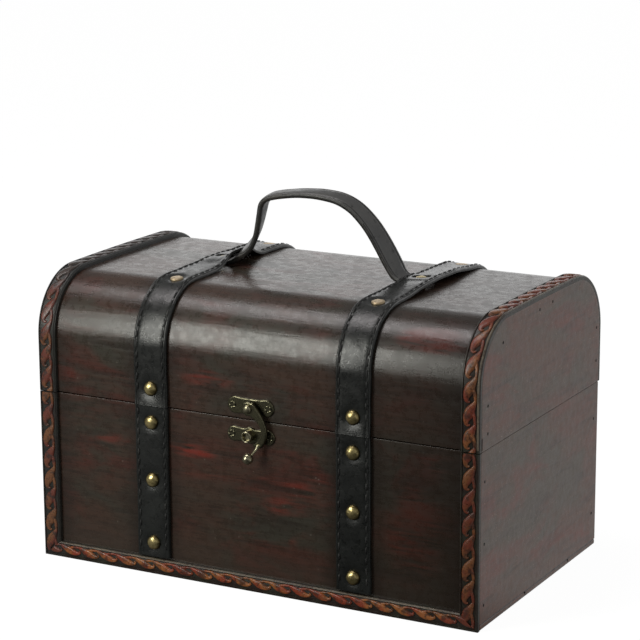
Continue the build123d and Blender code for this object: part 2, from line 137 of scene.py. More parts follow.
def endFinish(material, place, sockets, height, relief):  # relief in millimetres
    bumps = place.node("Bump", {"Height": height, "Distance": relief * mm})
    surface = place.node("BsdfPrincipled", {**sockets, "Normal": bumps})
    place.node("OutputMaterial", {"Surface": surface})
    return material


# Stained wood: dark brown with olive and red clouds, fine grain and a satin varnish
woodSet = {
    "brown": (0.044, 0.0225, 0.0138),
    "umber": (0.014, 0.009, 0.006),
    "olive": (0.031, 0.0275, 0.019),
    "rust": (0.060, 0.015, 0.009),
    "fawn": (0.038, 0.028, 0.020),
    "slate": (0.017, 0.015, 0.017),
    "red": (0.14, 0.018, 0.010),
    "dust": (0.26, 0.22, 0.18),
    # painted shade: very dark, along the joint over the base board and along the bottom edge
    "grimeAndShade": (0.004, 0.003, 0.003),
    "specular": 0.5,
    "relief": 0.09,
    "fawnFoot": (34, 10),  # heights between which the front turns fawn
    "strapX": 60.5,  # the wood is painted darker beside the straps and the trim, as shade
    "besideStrap": (21, 10.5),
    "besideTrim": (106, 121),
    "slateY": 34,
    "baseTop": 3,
    "patches": [  # x, z, half width, half height and strength of the red places on the front
        (-36, 72, 18, 4.5, 1.3), (20, 49, 18, 6, 1.0), (28, 60, 16, 5, 0.6), (-86, 72, 14, 4, 0.8),
        (112, 86, 16, 6, 1.0), (-26, 112, 20, 6, 0.9), (-118, 106, 10, 12, 0.6),
        (102, 146, 26, 6.5, 2.4), (95, 44, 20, 32, 0.6),
    ],
}


def redPatches(x, z):
    worn = 0.0
    for middleX, middleZ, wide, tall, strength in woodSet["patches"]:
        aside, above = (x - middleX) * (1 / wide), (z - middleZ) * (1 / tall)
        worn = between(aside * aside + above * above, 1.0, 0.0, 0.0, strength) + worn
    return worn


# Painted shade: darker wood beside the straps and the trim, on the front and on the lid
def shadeBesideStraps(x, y, z):
    reach = unsigned(x)
    strips = between(unsigned(reach - woodSet["strapX"]), *woodSet["besideStrap"])
    strapped = between(y, 10, -10) + between(z, 90, 95) * between(y, -10, 10)  # the back of the box is plain
    return (strips + between(reach, *woodSet["besideTrim"])) * strapped


def stainedWood(
    name, along, value=(1, 1, 1), redLow=0.60, shift=(0, 0, 0), deep=(20, 128), gloss=0.20, mottled=0.6,
    patched=False, banded=False,
):
    material, place = startFinish(name)

    def drawnOut(share):  # pattern drawn out along the grain
        return stretched(place, [share if axis == along else 1.0 for axis in "xyz"], shift)

    cloudy, even = drawnOut(0.45), drawnOut(1.0)
    fibres = grainy(drawnOut(0.05), 1.6, 4.0, 0.6, 0.3)
    figure = grainy(drawnOut(0.12), 0.20, 5.0, 0.6, 0.6)
    clouds = grainy(cloudy, 0.030, 4.0, 0.55, 0.4)
    patches = grainy(cloudy, 0.048, 4.0, 0.6, 0.7)
    embers = grainy(cloudy, 0.024, 3.0, 0.6, 0.9)
    mottle = grainy(even, 0.22, 4.0, 0.65)
    tooth = grainy(even, 1.1, 3.0, 0.6)
    specks = between(cells(even, 0.21), 0.085, 0.045) * between(mottle, 0.44, 0.60)
    x, y, z = split(stretched(place))
    layers = [
        (between(clouds, 0.40, 0.62), "olive"),
        (between(patches, 0.46, 0.70) * 0.85, "rust"),
        (between(mottle, 0.54, 0.28) * 0.3, "umber"),
        (between(figure, 0.54, 0.28) * 0.65, "umber"),
        (between(embers, redLow, redLow + 0.16) * between(figure, 0.30, 0.62) * 0.5, "red"),
        (between(fibres, 0.56, 0.34) * 0.48, "umber"),
        (between(tooth, 0.62, 0.80) * (0.27 * mottled), "dust"),
        (specks * 0.4, "dust"),
    ]
    if patched:
        worn = redPatches(x, z) * between(figure, 0.36, 0.60) * between(patches, 0.30, 0.52)
        layers += [
            (between(z, *woodSet["fawnFoot"]) * 0.6, "fawn"),
            (worn * 0.75, "red"),
            # painted shade beside the straps and the trim
            (shadeBesideStraps(x, y, z) * between(clouds, 0.30, 0.60, 0.35, 0.75), "umber"),
        ]
    if banded:  # a dull grey-blue board towards the back
        across = unsigned(y + figure * 14 - woodSet["slateY"])
        layers.append((between(across, 17, 4) * between(fibres, 0.34, 0.60, 0.35, 0.8), "slate"))
    joint = unsigned(z - woodSet["baseTop"])
    layers += [
        (between(x, *deep, 0.0, 0.72), "umber"),
        (between(joint, 0.75, 0.3, 0.0, 0.7) + between(z, 0.9, 0.3, 0.0, 0.8), "grimeAndShade"),  # painted shade along the joint over the base board and along the bottom edge
    ]
    shade = {0: 1.0, 6: layered(woodSet["brown"], woodSet, layers), 7: (*value, 1)}
    values = {
        "Base Color": place.node("Mix", shade, {"data_type": "RGBA", "blend_type": "MULTIPLY"}, 2),
        "Roughness": between(mottle, 0.3, 0.7, gloss, gloss + 0.10) + fibres * 0.08,
        "Specular IOR Level": woodSet["specular"],
    }
    height = figure * 1.7 + fibres * 0.3 + mottle * mottled + tooth * 0.12
    return endFinish(material, place, values, height, woodSet["relief"])


# Leather of the straps and of the handle, and waxed thread: colour, worn colour and roughness
leatherSet = {
    "strap": ((0.0075, 0.0083, 0.0076), (0.017, 0.019, 0.017), 0.30),
    "handle": ((0.058, 0.058, 0.057), (0.082, 0.080, 0.076), 0.36),
    # darker copy of the handle leather: darker edges, and painted shade on the faces turned to the middle of
    # the arch
    "handleEdgeAndShade": ((0.017, 0.017, 0.016), (0.040, 0.034, 0.027), 0.40),
    "thread": ((0.004, 0.004, 0.004), (0.05, 0.05, 0.045), 0.62),
    "specular": 0.5,
    "relief": 0.10,
}


def leather(name, dark, worn, rough):
    material, place = startFinish(name)
    flat = stretched(place)
    pebbles = cells(flat, 1.5, "SMOOTH_F1")
    creases = grainy(flat, 0.35, 4.0, 0.6, 0.8)
    patches = grainy(flat, 0.06, 3.0)
    specks = between(grainy(flat, 1.8, 2.0), 0.66, 0.78)
    paints = {"worn": worn, "crease": tuple(0.5 * c for c in dark)}
    layers = [
        (between(patches, 0.45, 0.75) * 0.6, "worn"),
        (between(creases, 0.42, 0.30), "crease"),
        (specks * 0.25, "worn"),
    ]
    values = {
        "Base Color": layered(dark, paints, layers),
        "Roughness": between(creases, 0.3, 0.7, rough - 0.05, rough + 0.07),
        "Specular IOR Level": leatherSet["specular"],
    }
    return endFinish(material, place, values, pebbles * 0.5 + creases * 0.8, leatherSet["relief"])


# Painted ornament: dark ground, red and ochre scroll
trimSet = {
    "ground": (0.015, 0.009, 0.006),
    "moss": (0.018, 0.018, 0.011),
    "rust": (0.060, 0.018, 0.010),
    "crevice": (0.006, 0.005, 0.004),
    "scrollRed": (0.200, 0.030, 0.010),
    "scrollOchre": (0.255, 0.086, 0.020),
    "scrollPale": (0.40, 0.27, 0.17),
    # pale colour painted on the bead of some trims as a highlight
    "bead": (0.125, 0.100, 0.070),
    # painted shade on the left trims, darkest on top of the lid
    "leftShade": (0.021, 0.022, 0.021),
    "grimeAndShade": (0.030, 0.012, 0.007),
    "relief": 0.12,
}


def shadeLeftDullRight(flat):  # masks of the painted shade at the left and of the dull paint at the right
    x, y, z = split(flat)
    dark = between(x, -116, -121) * between(z, 144, 157, 0.50, 0.92)  # most of all on top of the lid
    dull = between(x, 112, 121) * between(z, 90, 98, 0.54, 0.36)
    return dark, dull


# the last argument is the share of pale colour painted on the bead as a highlight
def trimGround(name, paleHighlight=0.0):
    material, place = startFinish(name)
    flat = stretched(place)
    clouds = grainy(flat, 0.09, 3.0)
    grit = grainy(flat, 0.9, 4.0, 0.65)
    layers = [
        (between(clouds, 0.42, 0.62), "moss"),
        (between(grit, 0.56, 0.72) * 0.5, "rust"),
        (between(grit, 0.42, 0.28), "crevice"),
        (between(grit + clouds, 0.8, 1.1, 0.35, 1.0) * paleHighlight, "bead"),
        # painted shade on the left trims
        (shadeLeftDullRight(flat)[0], "leftShade"),
    ]
    values = {
        "Base Color": layered(trimSet["ground"], trimSet, layers),
        "Roughness": between(grit, 0.3, 0.7, 0.32, 0.50),
        "Specular IOR Level": 0.4,
    }
    return endFinish(material, place, values, grit + clouds * 0.5, trimSet["relief"])


def scrollPaint(name):
    material, place = startFinish(name)
    flat = stretched(place)
    clouds = grainy(flat, 0.085, 2.0)
    grit = grainy(flat, 0.9, 4.0, 0.65)
    stains = grainy(flat, 0.28, 3.0, 0.6)
    flecks = between(grainy(flat, 1.5, 2.0), 0.66, 0.76)
    dark, dull = shadeLeftDullRight(flat)
    layers = [
        (between(clouds, 0.42, 0.60), "scrollOchre"),
        (between(stains, 0.52, 0.34) * 0.8, "grimeAndShade"),
        (between(grit, 0.5, 0.32) * 0.7, "grimeAndShade"),
        (flecks * 0.45, "scrollPale"),
        # painted shade on the left trims
        (dark, "leftShade"),
        (dull, "grimeAndShade"),
    ]
    values = {
        "Base Color": layered(trimSet["scrollRed"], trimSet, layers),
        "Roughness": between(grit, 0.3, 0.7, 0.26, 0.44),
        "Specular IOR Level": 0.5,
    }
    return endFinish(material, place, values, grit + stains * 0.6, trimSet["relief"])


# Metals, each with its bright colour, its tarnish and its roughness
metalSet = {
    "brass": ((0.66, 0.54, 0.25), (0.085, 0.064, 0.026), 0.26),
    # paler brass for the studs on top of the lid, a painted reflection of the bright surround
    "paleHighlight": ((0.80, 0.66, 0.47), (0.42, 0.33, 0.21), 0.42),
    "bronze": ((0.155, 0.145, 0.092), (0.040, 0.038, 0.024), 0.20),
    # lighter bronze for the pivot head, post, tail and ball: wear, and painted highlight
    "worn": ((0.40, 0.37, 0.25), (0.11, 0.10, 0.06), 0.22),
    "plate": ((0.48, 0.40, 0.27), (0.10, 0.075, 0.045), 0.33),
    "iron": ((0.03, 0.027, 0.025), (0.008, 0.007, 0.006), 0.5),
}


def oldMetal(name, bright, tarnish, rough, share=0.5, relief=0.025):
    material, place = startFinish(name)
    flat = stretched(place)
    stains = between(grainy(flat, 0.55, 4.0, 0.6, 0.5), 0.48 - 0.1 * share, 0.70)
    spots = between(grainy(flat, 1.7, 2.0), 0.60, 0.72)
    rim = place.node("Attribute", settings={"attribute_name": "rim"}, out="Fac")  # 1 at the edge of a stud
    scratches = grainy(flat, 2.4, 3.0, 0.7)
    colour = bright
    # the last mask darkens the edge of a stud: partly patina, partly painted shade under its rim
    for mask in (stains * 0.85, spots * 0.55, between(rim, 0.62, 0.98) * 0.9):
        colour = tinted(mask, colour, tarnish)
    finalRough = rough + stains * 0.2 + scratches * 0.08
    values = {"Base Color": colour, "Metallic": 1.0, "Roughness": finalRough}
    return endFinish(material, place, values, scratches - spots * 0.5, relief)


farOff = (1000, 2000)  # no darker side
finishes = {
    "wood": stainedWood("stainedWood", "x", mottled=0.3, patched=True),
    "woodEnd": stainedWood(
        "stainedWoodEnd", "y", value=(2.0, 1.65, 1.55), redLow=0.72, shift=(31, 17, 5), deep=farOff,
        gloss=0.28, mottled=2.4,
    ),
    "inside": stainedWood(
        "stainedInside", "x", value=(0.8, 0.8, 0.8), redLow=0.62, shift=(73, 41, 29), deep=farOff,
        gloss=0.34,
    ),
    "lidInside": stainedWood(
        "stainedLidInside", "x", value=(2.8, 2.0, 1.6), redLow=0.64, shift=(12, 90, 47), deep=farOff,
        gloss=0.36, banded=True,
    ),
    "trim": trimGround("trimGround"),
    # trim ground with its bead painted pale as a highlight
    "bead": trimGround("trimBeadHighlight", 0.85),
    "scroll": scrollPaint("scrollPaint"),
    "strap": leather("strapLeather", *leatherSet["strap"]),
    "handle": leather("handleLeather", *leatherSet["handle"]),
    # darker copy of the handle leather, partly painted shade
    "handleEdgeAndShade": leather("handleEdgeAndShade", *leatherSet["handleEdgeAndShade"]),
    "thread": leather("waxedThread", *leatherSet["thread"]),
    "brass": oldMetal("oldGold", *metalSet["brass"]),
    # paler brass as painted reflection on the studs on top of the lid
    "paleHighlight": oldMetal("paleHighlightBrass", *metalSet["paleHighlight"], 0.3),
    "bronze": oldMetal("darkBronze", *metalSet["bronze"], 0.6, 0.010),
    # lighter bronze: wear, and painted highlight
    "worn": oldMetal("wornHighlightBronze", *metalSet["worn"], 0.5, 0.010),
    "plate": oldMetal("platedSteel", *metalSet["plate"]),
    "iron": oldMetal("blackIron", *metalSet["iron"]),
}
print("finishes made:", len(finishes))


def addObject(name, data):
    made = bpy.data.objects.new(name, data)
    bpy.context.scene.collection.objects.link(made)
    return made


def pieceOf(name, mesh, body, stands=()):  # rides on a body and stands for its solids
    piece = addObject(name, mesh)
    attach(piece, body)
    if stands:
        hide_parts(*stands)
    return piece


def cleanMesh(name, points, faces):  # doubles merged and faces turned outwards
    mesh = bpy.data.meshes.new(name)
    mesh.from_pydata([Vector(p) * mm for p in points], [], faces)
    shape = bmesh.new()
    shape.from_mesh(mesh)
    bmesh.ops.remove_doubles(shape, verts=shape.verts, dist=1e-7)
    bmesh.ops.recalc_face_normals(shape, faces=shape.faces)
    shape.to_mesh(mesh)
    shape.free()
    mesh.shade_smooth()
    return mesh


def newPiece(name, points, faces, materials, body, slot, stands=(), inner=None, sharp=40):
    mesh = cleanMesh(name, points, faces)
    for material in materials:
        mesh.materials.append(material)
    if inner:  # second finish on the faces whose middle and direction the rule picks
        for face in mesh.polygons:
            face.material_index = int(inner(face.center / mm, face.normal))
    mesh.set_sharp_from_angle(angle=math.radians(sharp))
    return pieceOf(name, mesh, body, stands)


def oneFinish(mesh, finish):
    mesh.materials.clear()
    mesh.materials.append(finish)
    for face in mesh.polygons:
        face.material_index = 0
    mesh.shade_smooth()


def cadMm(node):  # lowest and highest corners of a solid, in millimetres
    low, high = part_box(node)
    return low / mm, high / mm


def ringFaces(rings, size):  # quads between closed rings of points
    faces = []
    for ring in range(rings - 1):
        for i in range(size):
            a, b = ring * size + i, ring * size + (i + 1) % size
            faces.append((a, b, b + size, a + size))
    return faces


def tubeFaces(rings, size):  # the same, with both ends filled
    last = (rings - 1) * size
    return ringFaces(rings, size) + [tuple(range(size)), tuple(range(last, last + size))]


def softBlock(low, high, edge, loop=1.0):  # box with rounded edges and a support loop
    half = edge * (1 - math.tan(halfBend))
    stops = []
    for a, b in zip(low, high):
        near = [0, half, edge, min(edge + loop, (b - a) * 0.45)]
        stops.append([a + n for n in near] + [b - n for n in reversed(near)])
    last = [len(s) - 1 for s in stops]
    found, points, faces = {}, [], []

    def corner(key):
        if key not in found:
            raw = Vector([stops[i][key[i]] for i in range(3)])
            core = Vector([min(max(raw[i], low[i] + edge), high[i] - edge) for i in range(3)])
            found[key] = len(points)
            points.append(core + (raw - core).normalized() * edge)
        return found[key]

    for axis in range(3):
        u, v = (axis + 1) % 3, (axis + 2) % 3
        for side in (0, last[axis]):
            for a in range(last[u]):
                for b in range(last[v]):
                    quad = []
                    for da, db in ((0, 0), (1, 0), (1, 1), (0, 1)):
                        key = [side] * 3
                        key[u], key[v] = a + da, b + db
                        quad.append(corner(tuple(key)))
                    faces.append(quad)
    return points, faces


# Carcass of the box: base board, ends, front and back
carcassSet = {
    "base_board": ("woodEnd", 0.8, 0.0),  # finish, edge, and how far the rim is off its solid
    "box_end_left": ("woodEnd", 0.20, 0.08),
    "box_end_right": ("woodEnd", 0.20, 0.08),
    "box_front_panel": ("wood", 0.16, -0.14),
    "box_back_panel": ("wood", 0.16, -0.14),
}
boxInner = cadMm("box_front_panel")[0].x, cadMm("box_front_panel")[1].y, cadMm("base_board")[1].z


def insideBox(middle, facing):
    x, y, z = boxInner
    return abs(middle.x) < slack - x and abs(middle.y) < slack - y and middle.z > z - slack


for node, (outer, edge, rim) in carcassSet.items():
    low, high = cadMm(node)
    high.z += rim
    block = softBlock(low, high, edge)
    blockFinishes = [finishes[outer], finishes["inside"]]
    newPiece("wood_" + node, *block, blockFinishes, "box", "stained_wood", [node], insideBox)
print("carcass made")

# Dome of the lid: rounded shoulders and a shallow crown, as in the solids
dome = {
    "radius": 31.8, "crown": 3000.0, "wall": 7.0, "seam": -18.2, "step": 1.6, "edge": 0.16, "groove": 0.7,
}
dome["half"], dome["top"] = cadMm("lid_end_left")[1].yz
dome["y"] = dome["half"] - dome["radius"]
dome["hub"] = dome["top"] - dome["crown"]
dome["tilt"] = math.asin(dome["y"] / (dome["crown"] - dome["radius"]))
dome["z"] = dome["hub"] + math.sqrt((dome["crown"] - dome["radius"]) ** 2 - dome["y"] ** 2)
dome["rim"] = cadMm("lid_front_board")[0].z
dome["lip"] = dome["rim"] + 0.14  # leaves a thin dark line over the box
dome["endLip"] = dome["rim"] - 0.08
frontY = -dome["half"]  # face of the front boards
topFrom = 150  # heights above this one are on top of the lid


def domeLine(grow, foot, step=dome["step"]):  # (y, z, angle) from the back rim over the top to the front rim
    quarter = math.pi / 2 - dome["tilt"]
    arcs = [
        (dome["y"], dome["z"], dome["radius"] + grow, 0.0, quarter),
        (0.0, dome["hub"], dome["crown"] + grow, quarter, math.pi - quarter),
        (-dome["y"], dome["z"], dome["radius"] + grow, math.pi - quarter, math.pi),
    ]
    half = dome["half"] + grow
    rise = dome["z"] - foot
    count = max(2, round(rise / step))
    line = [(half, foot + rise * i / count, 0.0) for i in range(count)]
    for y, z, radius, start, stop in arcs:
        parts = max(2, round(radius * (stop - start) / step))
        for i in range(parts):
            angle = start + (stop - start) * i / parts
            line.append((y + radius * math.cos(angle), z + radius * math.sin(angle), angle))
    line += [(-half, dome["z"] - rise * i / count, math.pi) for i in range(count + 1)]
    return line


def plate(outline, start, stop, edge):  # upright plate between two x places, with rounded edges
    half = edge * chamfer
    rings = [(edge + 1, start), (edge, start), (half, start + half), (0, start + edge)]
    rings += [(0, stop - edge), (half, stop - half), (edge, stop), (edge + 1, stop)]
    points = [(x, y, z) for inset, x in rings for y, z in outline(inset)]
    size = len(points) // len(rings)
    caps = [tuple(range(size)), tuple(range(len(points) - size, len(points)))]
    return points, ringFaces(len(rings), size) + caps


def domeOutline(inset):
    return [(y, z) for y, z, angle in domeLine(-inset, dome["endLip"] + inset)]


for node in ("lid_end_left", "lid_end_right"):
    low, high = cadMm(node)
    innerX = min(abs(low.x), abs(high.x))
    panel = plate(domeOutline, low.x, high.x, dome["edge"])
    newPiece(
        "wood_" + node, *panel, [finishes["woodEnd"], finishes["inside"]], "lid", "stained_wood", [node],
        lambda middle, facing, x=innerX: abs(middle.x) < x + slack,
    )

# Boards and staves between the ends, cut square to the rounded shoulder
knee = (dome["radius"] - dome["wall"]) * math.tan(halfBend)
innerLine = [
    (dome["half"] - dome["wall"], dome["lip"]),
    (dome["half"] - dome["wall"], dome["z"] + knee),
    (dome["y"] + knee, dome["z"] + dome["radius"] - dome["wall"]),
]


def domeAngle(y):  # direction of the crown at a depth
    return math.pi / 2 - math.asin(y / dome["crown"])


def outerEdge(angle):  # point of the dome at an angle
    if angle in (0.0, math.pi):
        return math.copysign(dome["half"], math.cos(angle)), dome["lip"]
    if abs(angle - math.pi / 2) < dome["tilt"]:
        hubY, hubZ, radius = 0.0, dome["hub"], dome["crown"]
    else:
        hubY, hubZ, radius = math.copysign(dome["y"], math.cos(angle)), dome["z"], dome["radius"]
    return hubY + radius * math.cos(angle), hubZ + radius * math.sin(angle)


def eased(corner, before, after):  # cut-off corner
    here = Vector(corner)
    away = [(Vector(p) - here).normalized() * dome["groove"] for p in (before, after)]
    return [tuple(here + a) for a in away]


def boardSection(start, stop, innerStart, innerStop):  # outer arc between two angles, inner straight face
    line = domeLine(0, dome["lip"], 1.2)
    outer = [(y, z) for y, z, angle in line if start + 0.004 < angle < stop - 0.004]
    first, last = outerEdge(start), outerEdge(stop)
    if start == 0.0:
        outer = [(y, z) for y, z, angle in line if y > 0 and angle == 0.0][1:] + outer
    if stop == math.pi:
        outer = outer + [(y, z) for y, z, angle in line if y < 0 and angle == math.pi][:-1]
    inner = eased(innerStop, last, innerStart) + eased(innerStart, innerStop, first)
    return [first, *outer, last, *inner]


mirroredLine = [(-y, z) for y, z in innerLine]
ceiling = innerLine[2][1]
seam, seamAngle = (dome["seam"], ceiling), domeAngle(dome["seam"])
backTurn, frontTurn = math.pi / 2 - halfBend, math.pi / 2 + halfBend
boards = {
    "lid_back_board": (0.0, halfBend, innerLine[0], innerLine[1]),
    "lid_back_stave": (halfBend, backTurn, innerLine[1], innerLine[2]),
    "lid_top_board_back": (backTurn, seamAngle, innerLine[2], seam),
    "lid_top_board_front": (seamAngle, frontTurn, seam, mirroredLine[2]),
    "lid_front_stave": (frontTurn, math.pi - halfBend, mirroredLine[2], mirroredLine[1]),
    "lid_front_board": (math.pi - halfBend, math.pi, mirroredLine[1], mirroredLine[0]),
}


def insideLid(middle, facing):
    flat = abs(middle.y) < dome["half"] - dome["wall"] + 0.3 and middle.z < ceiling + 0.3
    return flat and abs(middle.y) + middle.z < innerLine[1][0] + innerLine[1][1] + 0.5


for node, cut in boards.items():
    low, high = cadMm(node)
    section = boardSection(*cut)
    boardPoints = [(x, y, z) for x in (low.x, high.x) for y, z in section]
    newPiece(
        "wood_" + node, boardPoints, tubeFaces(2, len(section)), [finishes["wood"], finishes["lidInside"]],
        "lid", "stained_wood", [node], insideLid, 30,
    )
print("lid boards made")


def sweep(frames, section, shape=None):  # section carried along frames of (place, across, outward)
    points = []
    for ring, (place, across, outward) in enumerate(frames):
        for t, h in section:
            if shape:
                t, h = shape(ring, t, h)
            points.append(place + across * t + outward * h)
    return points, tubeFaces(len(frames), len(section))


def joined(parts):  # several lists of points and faces as one
    points, faces = [], []
    for morePoints, moreFaces in parts:
        base = len(points)
        points += morePoints
        faces += [tuple(i + base for i in face) for face in moreFaces]
    return points, faces


right, up, front = Vector((1, 0, 0)), Vector((0, 0, 1)), Vector((0, -1, 0))

# Trim strips: a sunk field for the scroll, and a bead between two grooves along one edge
trim = {
    "width": 10.4, "thick": 2.5, "edge": 0.5, "field": (0.8, 8.5), "sunk": 0.6, "groove": 0.7,
    "foot": 8.9, "footField": (1.3, 7.4),
    "bead": [(0, -0.25), (0.25, 0), (0.5, 0.08), (0.75, 0), (1, -0.25)],
    # where the bead is painted pale as a highlight: along the top of the foot and on the right lid trim
    "paleFoot": (8.1, 8.6), "footReach": 118, "paleLid": (129.95, 130.95), "lidFrom": 96,
}
trimFinishes = [finishes["trim"], finishes["bead"]]


def trimSection(width, field):
    e, thick, low = trim["edge"], trim["thick"], trim["thick"] - trim["groove"]
    sunk = thick - trim["sunk"]
    left = [(0, 0), (0, thick - e), (chamfer * e, thick - chamfer * e), (e, thick), (field[0], thick)]
    middle = [(field[0] + 0.3, sunk), (field[1] - 0.3, sunk), (field[1] - 0.1, low), (field[1] + 0.1, low)]
    start, stop = field[1] + 0.3, width - 0.45
    bead = [(start + (stop - start) * u, thick + h) for u, h in trim["bead"]]
    return left + middle + bead + [(width - 0.2, low), (width, low), (width, 0)]


# faces of the bead that take the pale painted highlight
def onBeadHighlight(middle, facing):
    footLow, footHigh = trim["paleFoot"]
    if middle.z < footHigh and abs(middle.x) < trim["footReach"]:
        return middle.z > footLow
    lidLow, lidHigh = trim["paleLid"]
    return lidLow < middle.x < lidHigh and middle.z > trim["lidFrom"]


def trimPiece(name, points, faces, body, node):
    newPiece(name, points, faces, trimFinishes, body, "ornament_trim", [node], onBeadHighlight)


boxTop = cadMm("box_trim_left")[1].z
halfWidth = cadMm("base_board")[1].x
uprightSection = trimSection(trim["width"], trim["field"])
size = len(uprightSection)
for side in ("left", "right"):
    startX = cadMm(f"box_trim_{side}")[0].x
    stations = [boxTop - 0.05, boxTop - 2, boxTop / 2, trim["foot"], 0.0]
    frames = [(Vector((startX, frontY, z)), right, front) for z in stations]
    stripPoints, stripFaces = sweep(frames, uprightSection)
    for i, (t, h) in enumerate(uprightSection):  # the foot end is mitred
        share = t / trim["width"] if side == "left" else 1 - t / trim["width"]
        stripPoints[-size + i] = Vector((startX + t, frontY - h, trim["foot"] * share))
        stripPoints[-2 * size + i] = Vector((startX + t, frontY - h, trim["foot"] * share + 1))
    trimPiece(f"trim_box_{side}", stripPoints, stripFaces, "box", f"box_trim_{side}")

footSection = trimSection(trim["foot"], trim["footField"])
footX = (-halfWidth, -halfWidth / 2, halfWidth / 2, halfWidth)
footPoints, footFaces = sweep([(Vector((x, frontY, 0)), up, front) for x in footX], footSection)
for i, (t, h) in enumerate(footSection):
    for ring, sign in ((0, -1), (3, 1)):
        x = sign * (halfWidth - trim["width"] * t / trim["foot"])
        footPoints[ring * len(footSection) + i] = Vector((x, frontY - h, t))
trimPiece("trim_box_foot", footPoints, footFaces, "box", "box_trim_bottom")

for side in ("left", "right"):
    startX = cadMm(f"lid_trim_{side}")[0].x
    over = domeLine(0, dome["rim"])
    frames = [(Vector((startX, y, z)), right, Vector((0, math.cos(a), math.sin(a)))) for y, z, a in over]
    trimPiece(f"trim_lid_{side}", *sweep(frames, uprightSection), "lid", f"lid_trim_{side}")
print("trim made")


def geometryTree(name, inputs):  # node tree with named inputs
    tree = bpy.data.node_groups.new(name, "GeometryNodeTree")
    tree.interface.new_socket("Geometry", in_out="OUTPUT", socket_type="NodeSocketGeometry")
    for key, kind in inputs.items():
        tree.interface.new_socket(key, in_out="INPUT", socket_type="NodeSocket" + kind)
    entry = tree.nodes.new("NodeGroupInput")
    return tree, Wire(tree), {key: Wire(tree, entry.outputs[key]) for key in inputs}


def vectorMaths(wire, operation, first, second=(0, 0, 0)):
    return wire.node("VectorMath", {0: first, 1: second}, {"operation": operation})


def timesLength(wire, vector, length):
    return wire.node("VectorMath", {0: vector, "Scale": length}, {"operation": "SCALE"})


def randomTurn(wire, given, key):  # between minus and plus a named input
    limits = {2: given[key] * -1.0, 3: given[key], "Seed": given["Seed"]}
    return wire.node("FunctionNodeRandomValue", limits, {"data_type": "FLOAT"}, 1)


def realized(wire, points, part, rotation):
    shape = wire.node("GeometryNodeObjectInfo", {"Object": part}, out="Geometry")
    placed = {"Points": points, "Instance": shape, "Rotation": rotation}
    instances = wire.node("GeometryNodeInstanceOnPoints", placed)
    return wire.node("GeometryNodeRealizeInstances", {"Geometry": instances})


def endTree(wire, solid, finish):
    done = wire.node("GeometryNodeSetMaterial", {"Geometry": solid, "Material": finish})
    wire.node("NodeGroupOutput", {0: done})


def alongTree():  # a motif repeated along a line and bent to follow it
    kinds = {
        "Path": "Geometry", "Motif": "Object", "Pitch": "Float", "Start": "Float", "Count": "Int",
        "Across": "Vector", "Lift": "Float", "Jitter": "Float", "Seed": "Int", "Finish": "Material",
    }
    tree, wire, given = geometryTree("alongPath", kinds)
    line = wire.node("GeometryNodeMeshLine", {
        "Count": given["Count"],
        "Start Location": wire.node("CombineXYZ", {"X": given["Start"]}),
        "Offset": wire.node("CombineXYZ", {"X": given["Pitch"]}),
    })
    tilt = wire.node("CombineXYZ", {"Z": randomTurn(wire, given, "Jitter")})
    solid = realized(wire, line, given["Motif"], tilt)
    s, t, h = split(wire.node("GeometryNodeInputPosition"))
    sampled = {"Curves": wire.node("GeometryNodeMeshToCurve", {"Mesh": given["Path"]}), "Length": s}
    modes = {"mode": "LENGTH", "use_all_curves": True}
    sample = wire.node("GeometryNodeSampleCurve", sampled, modes, "Position")
    outward = vectorMaths(wire, "CROSS_PRODUCT", sample.beside("Tangent"), given["Across"])
    outward = vectorMaths(wire, "NORMALIZE", outward)
    aside = vectorMaths(wire, "ADD", sample, timesLength(wire, given["Across"], t))
    bent = vectorMaths(wire, "ADD", aside, timesLength(wire, outward, h + given["Lift"]))
    moved = wire.node("GeometryNodeSetPosition", {"Geometry": solid, "Position": bent})
    endTree(wire, moved, given["Finish"])
    return tree


def pointTree():  # a part set on points, each along its own direction and with its own spin
    kinds = {"Points": "Geometry", "Part": "Object", "Spin": "Float", "Seed": "Int", "Finish": "Material"}
    tree, wire, given = geometryTree("setOnPoints", kinds)
    facing = wire.node("GeometryNodeInputNamedAttribute", {"Name": "facing"}, {"data_type": "FLOAT_VECTOR"})
    aligned = wire.node("FunctionNodeAlignRotationToVector", {"Vector": facing}, {"axis": "Z"})
    angle = randomTurn(wire, given, "Spin")
    spin = wire.node("FunctionNodeAxisAngleToRotation", {"Axis": (0, 0, 1), "Angle": angle})
    turns = {"Rotation": aligned, "Rotate By": spin}
    rotation = wire.node("FunctionNodeRotateRotation", turns, {"rotation_space": "LOCAL"})
    endTree(wire, realized(wire, given["Points"], given["Part"], rotation), given["Finish"])
    return tree


trees = {"along": alongTree(), "points": pointTree()}
templates = []  # parts for the node trees, removed once all are used


def evaluated(made):
    return bpy.data.meshes.new_from_object(made.evaluated_get(bpy.context.evaluated_depsgraph_get()))


def grown(tree, base, values):  # mesh that a node tree makes of a base mesh
    carrier = addObject("carrier", base)
    modifier = carrier.modifiers.new("nodes", "NODES")
    modifier.node_group = tree
    for item in tree.interface.items_tree:
        if item.in_out == "INPUT" and item.name in values:
            modifier[item.identifier] = values[item.name]
    mesh = evaluated(carrier)
    bpy.data.objects.remove(carrier)
    return mesh


def template(name, points, faces, edge=0.0):  # a round part notes how near its edge each point is
    mesh = cleanMesh(name, points, faces)
    if edge:
        rim = mesh.attributes.new("rim", "FLOAT", "POINT")
        for item, vertex in zip(rim.data, mesh.vertices):
            item.value = vertex.co.xy.length / (edge * mm)
    made = addObject(name, mesh)
    templates.append(made)
    return made


def lineMesh(name, line):
    mesh = bpy.data.meshes.new(name)
    mesh.from_pydata([Vector(p) * mm for p in line], [(i, i + 1) for i in range(len(line) - 1)], [])
    return mesh


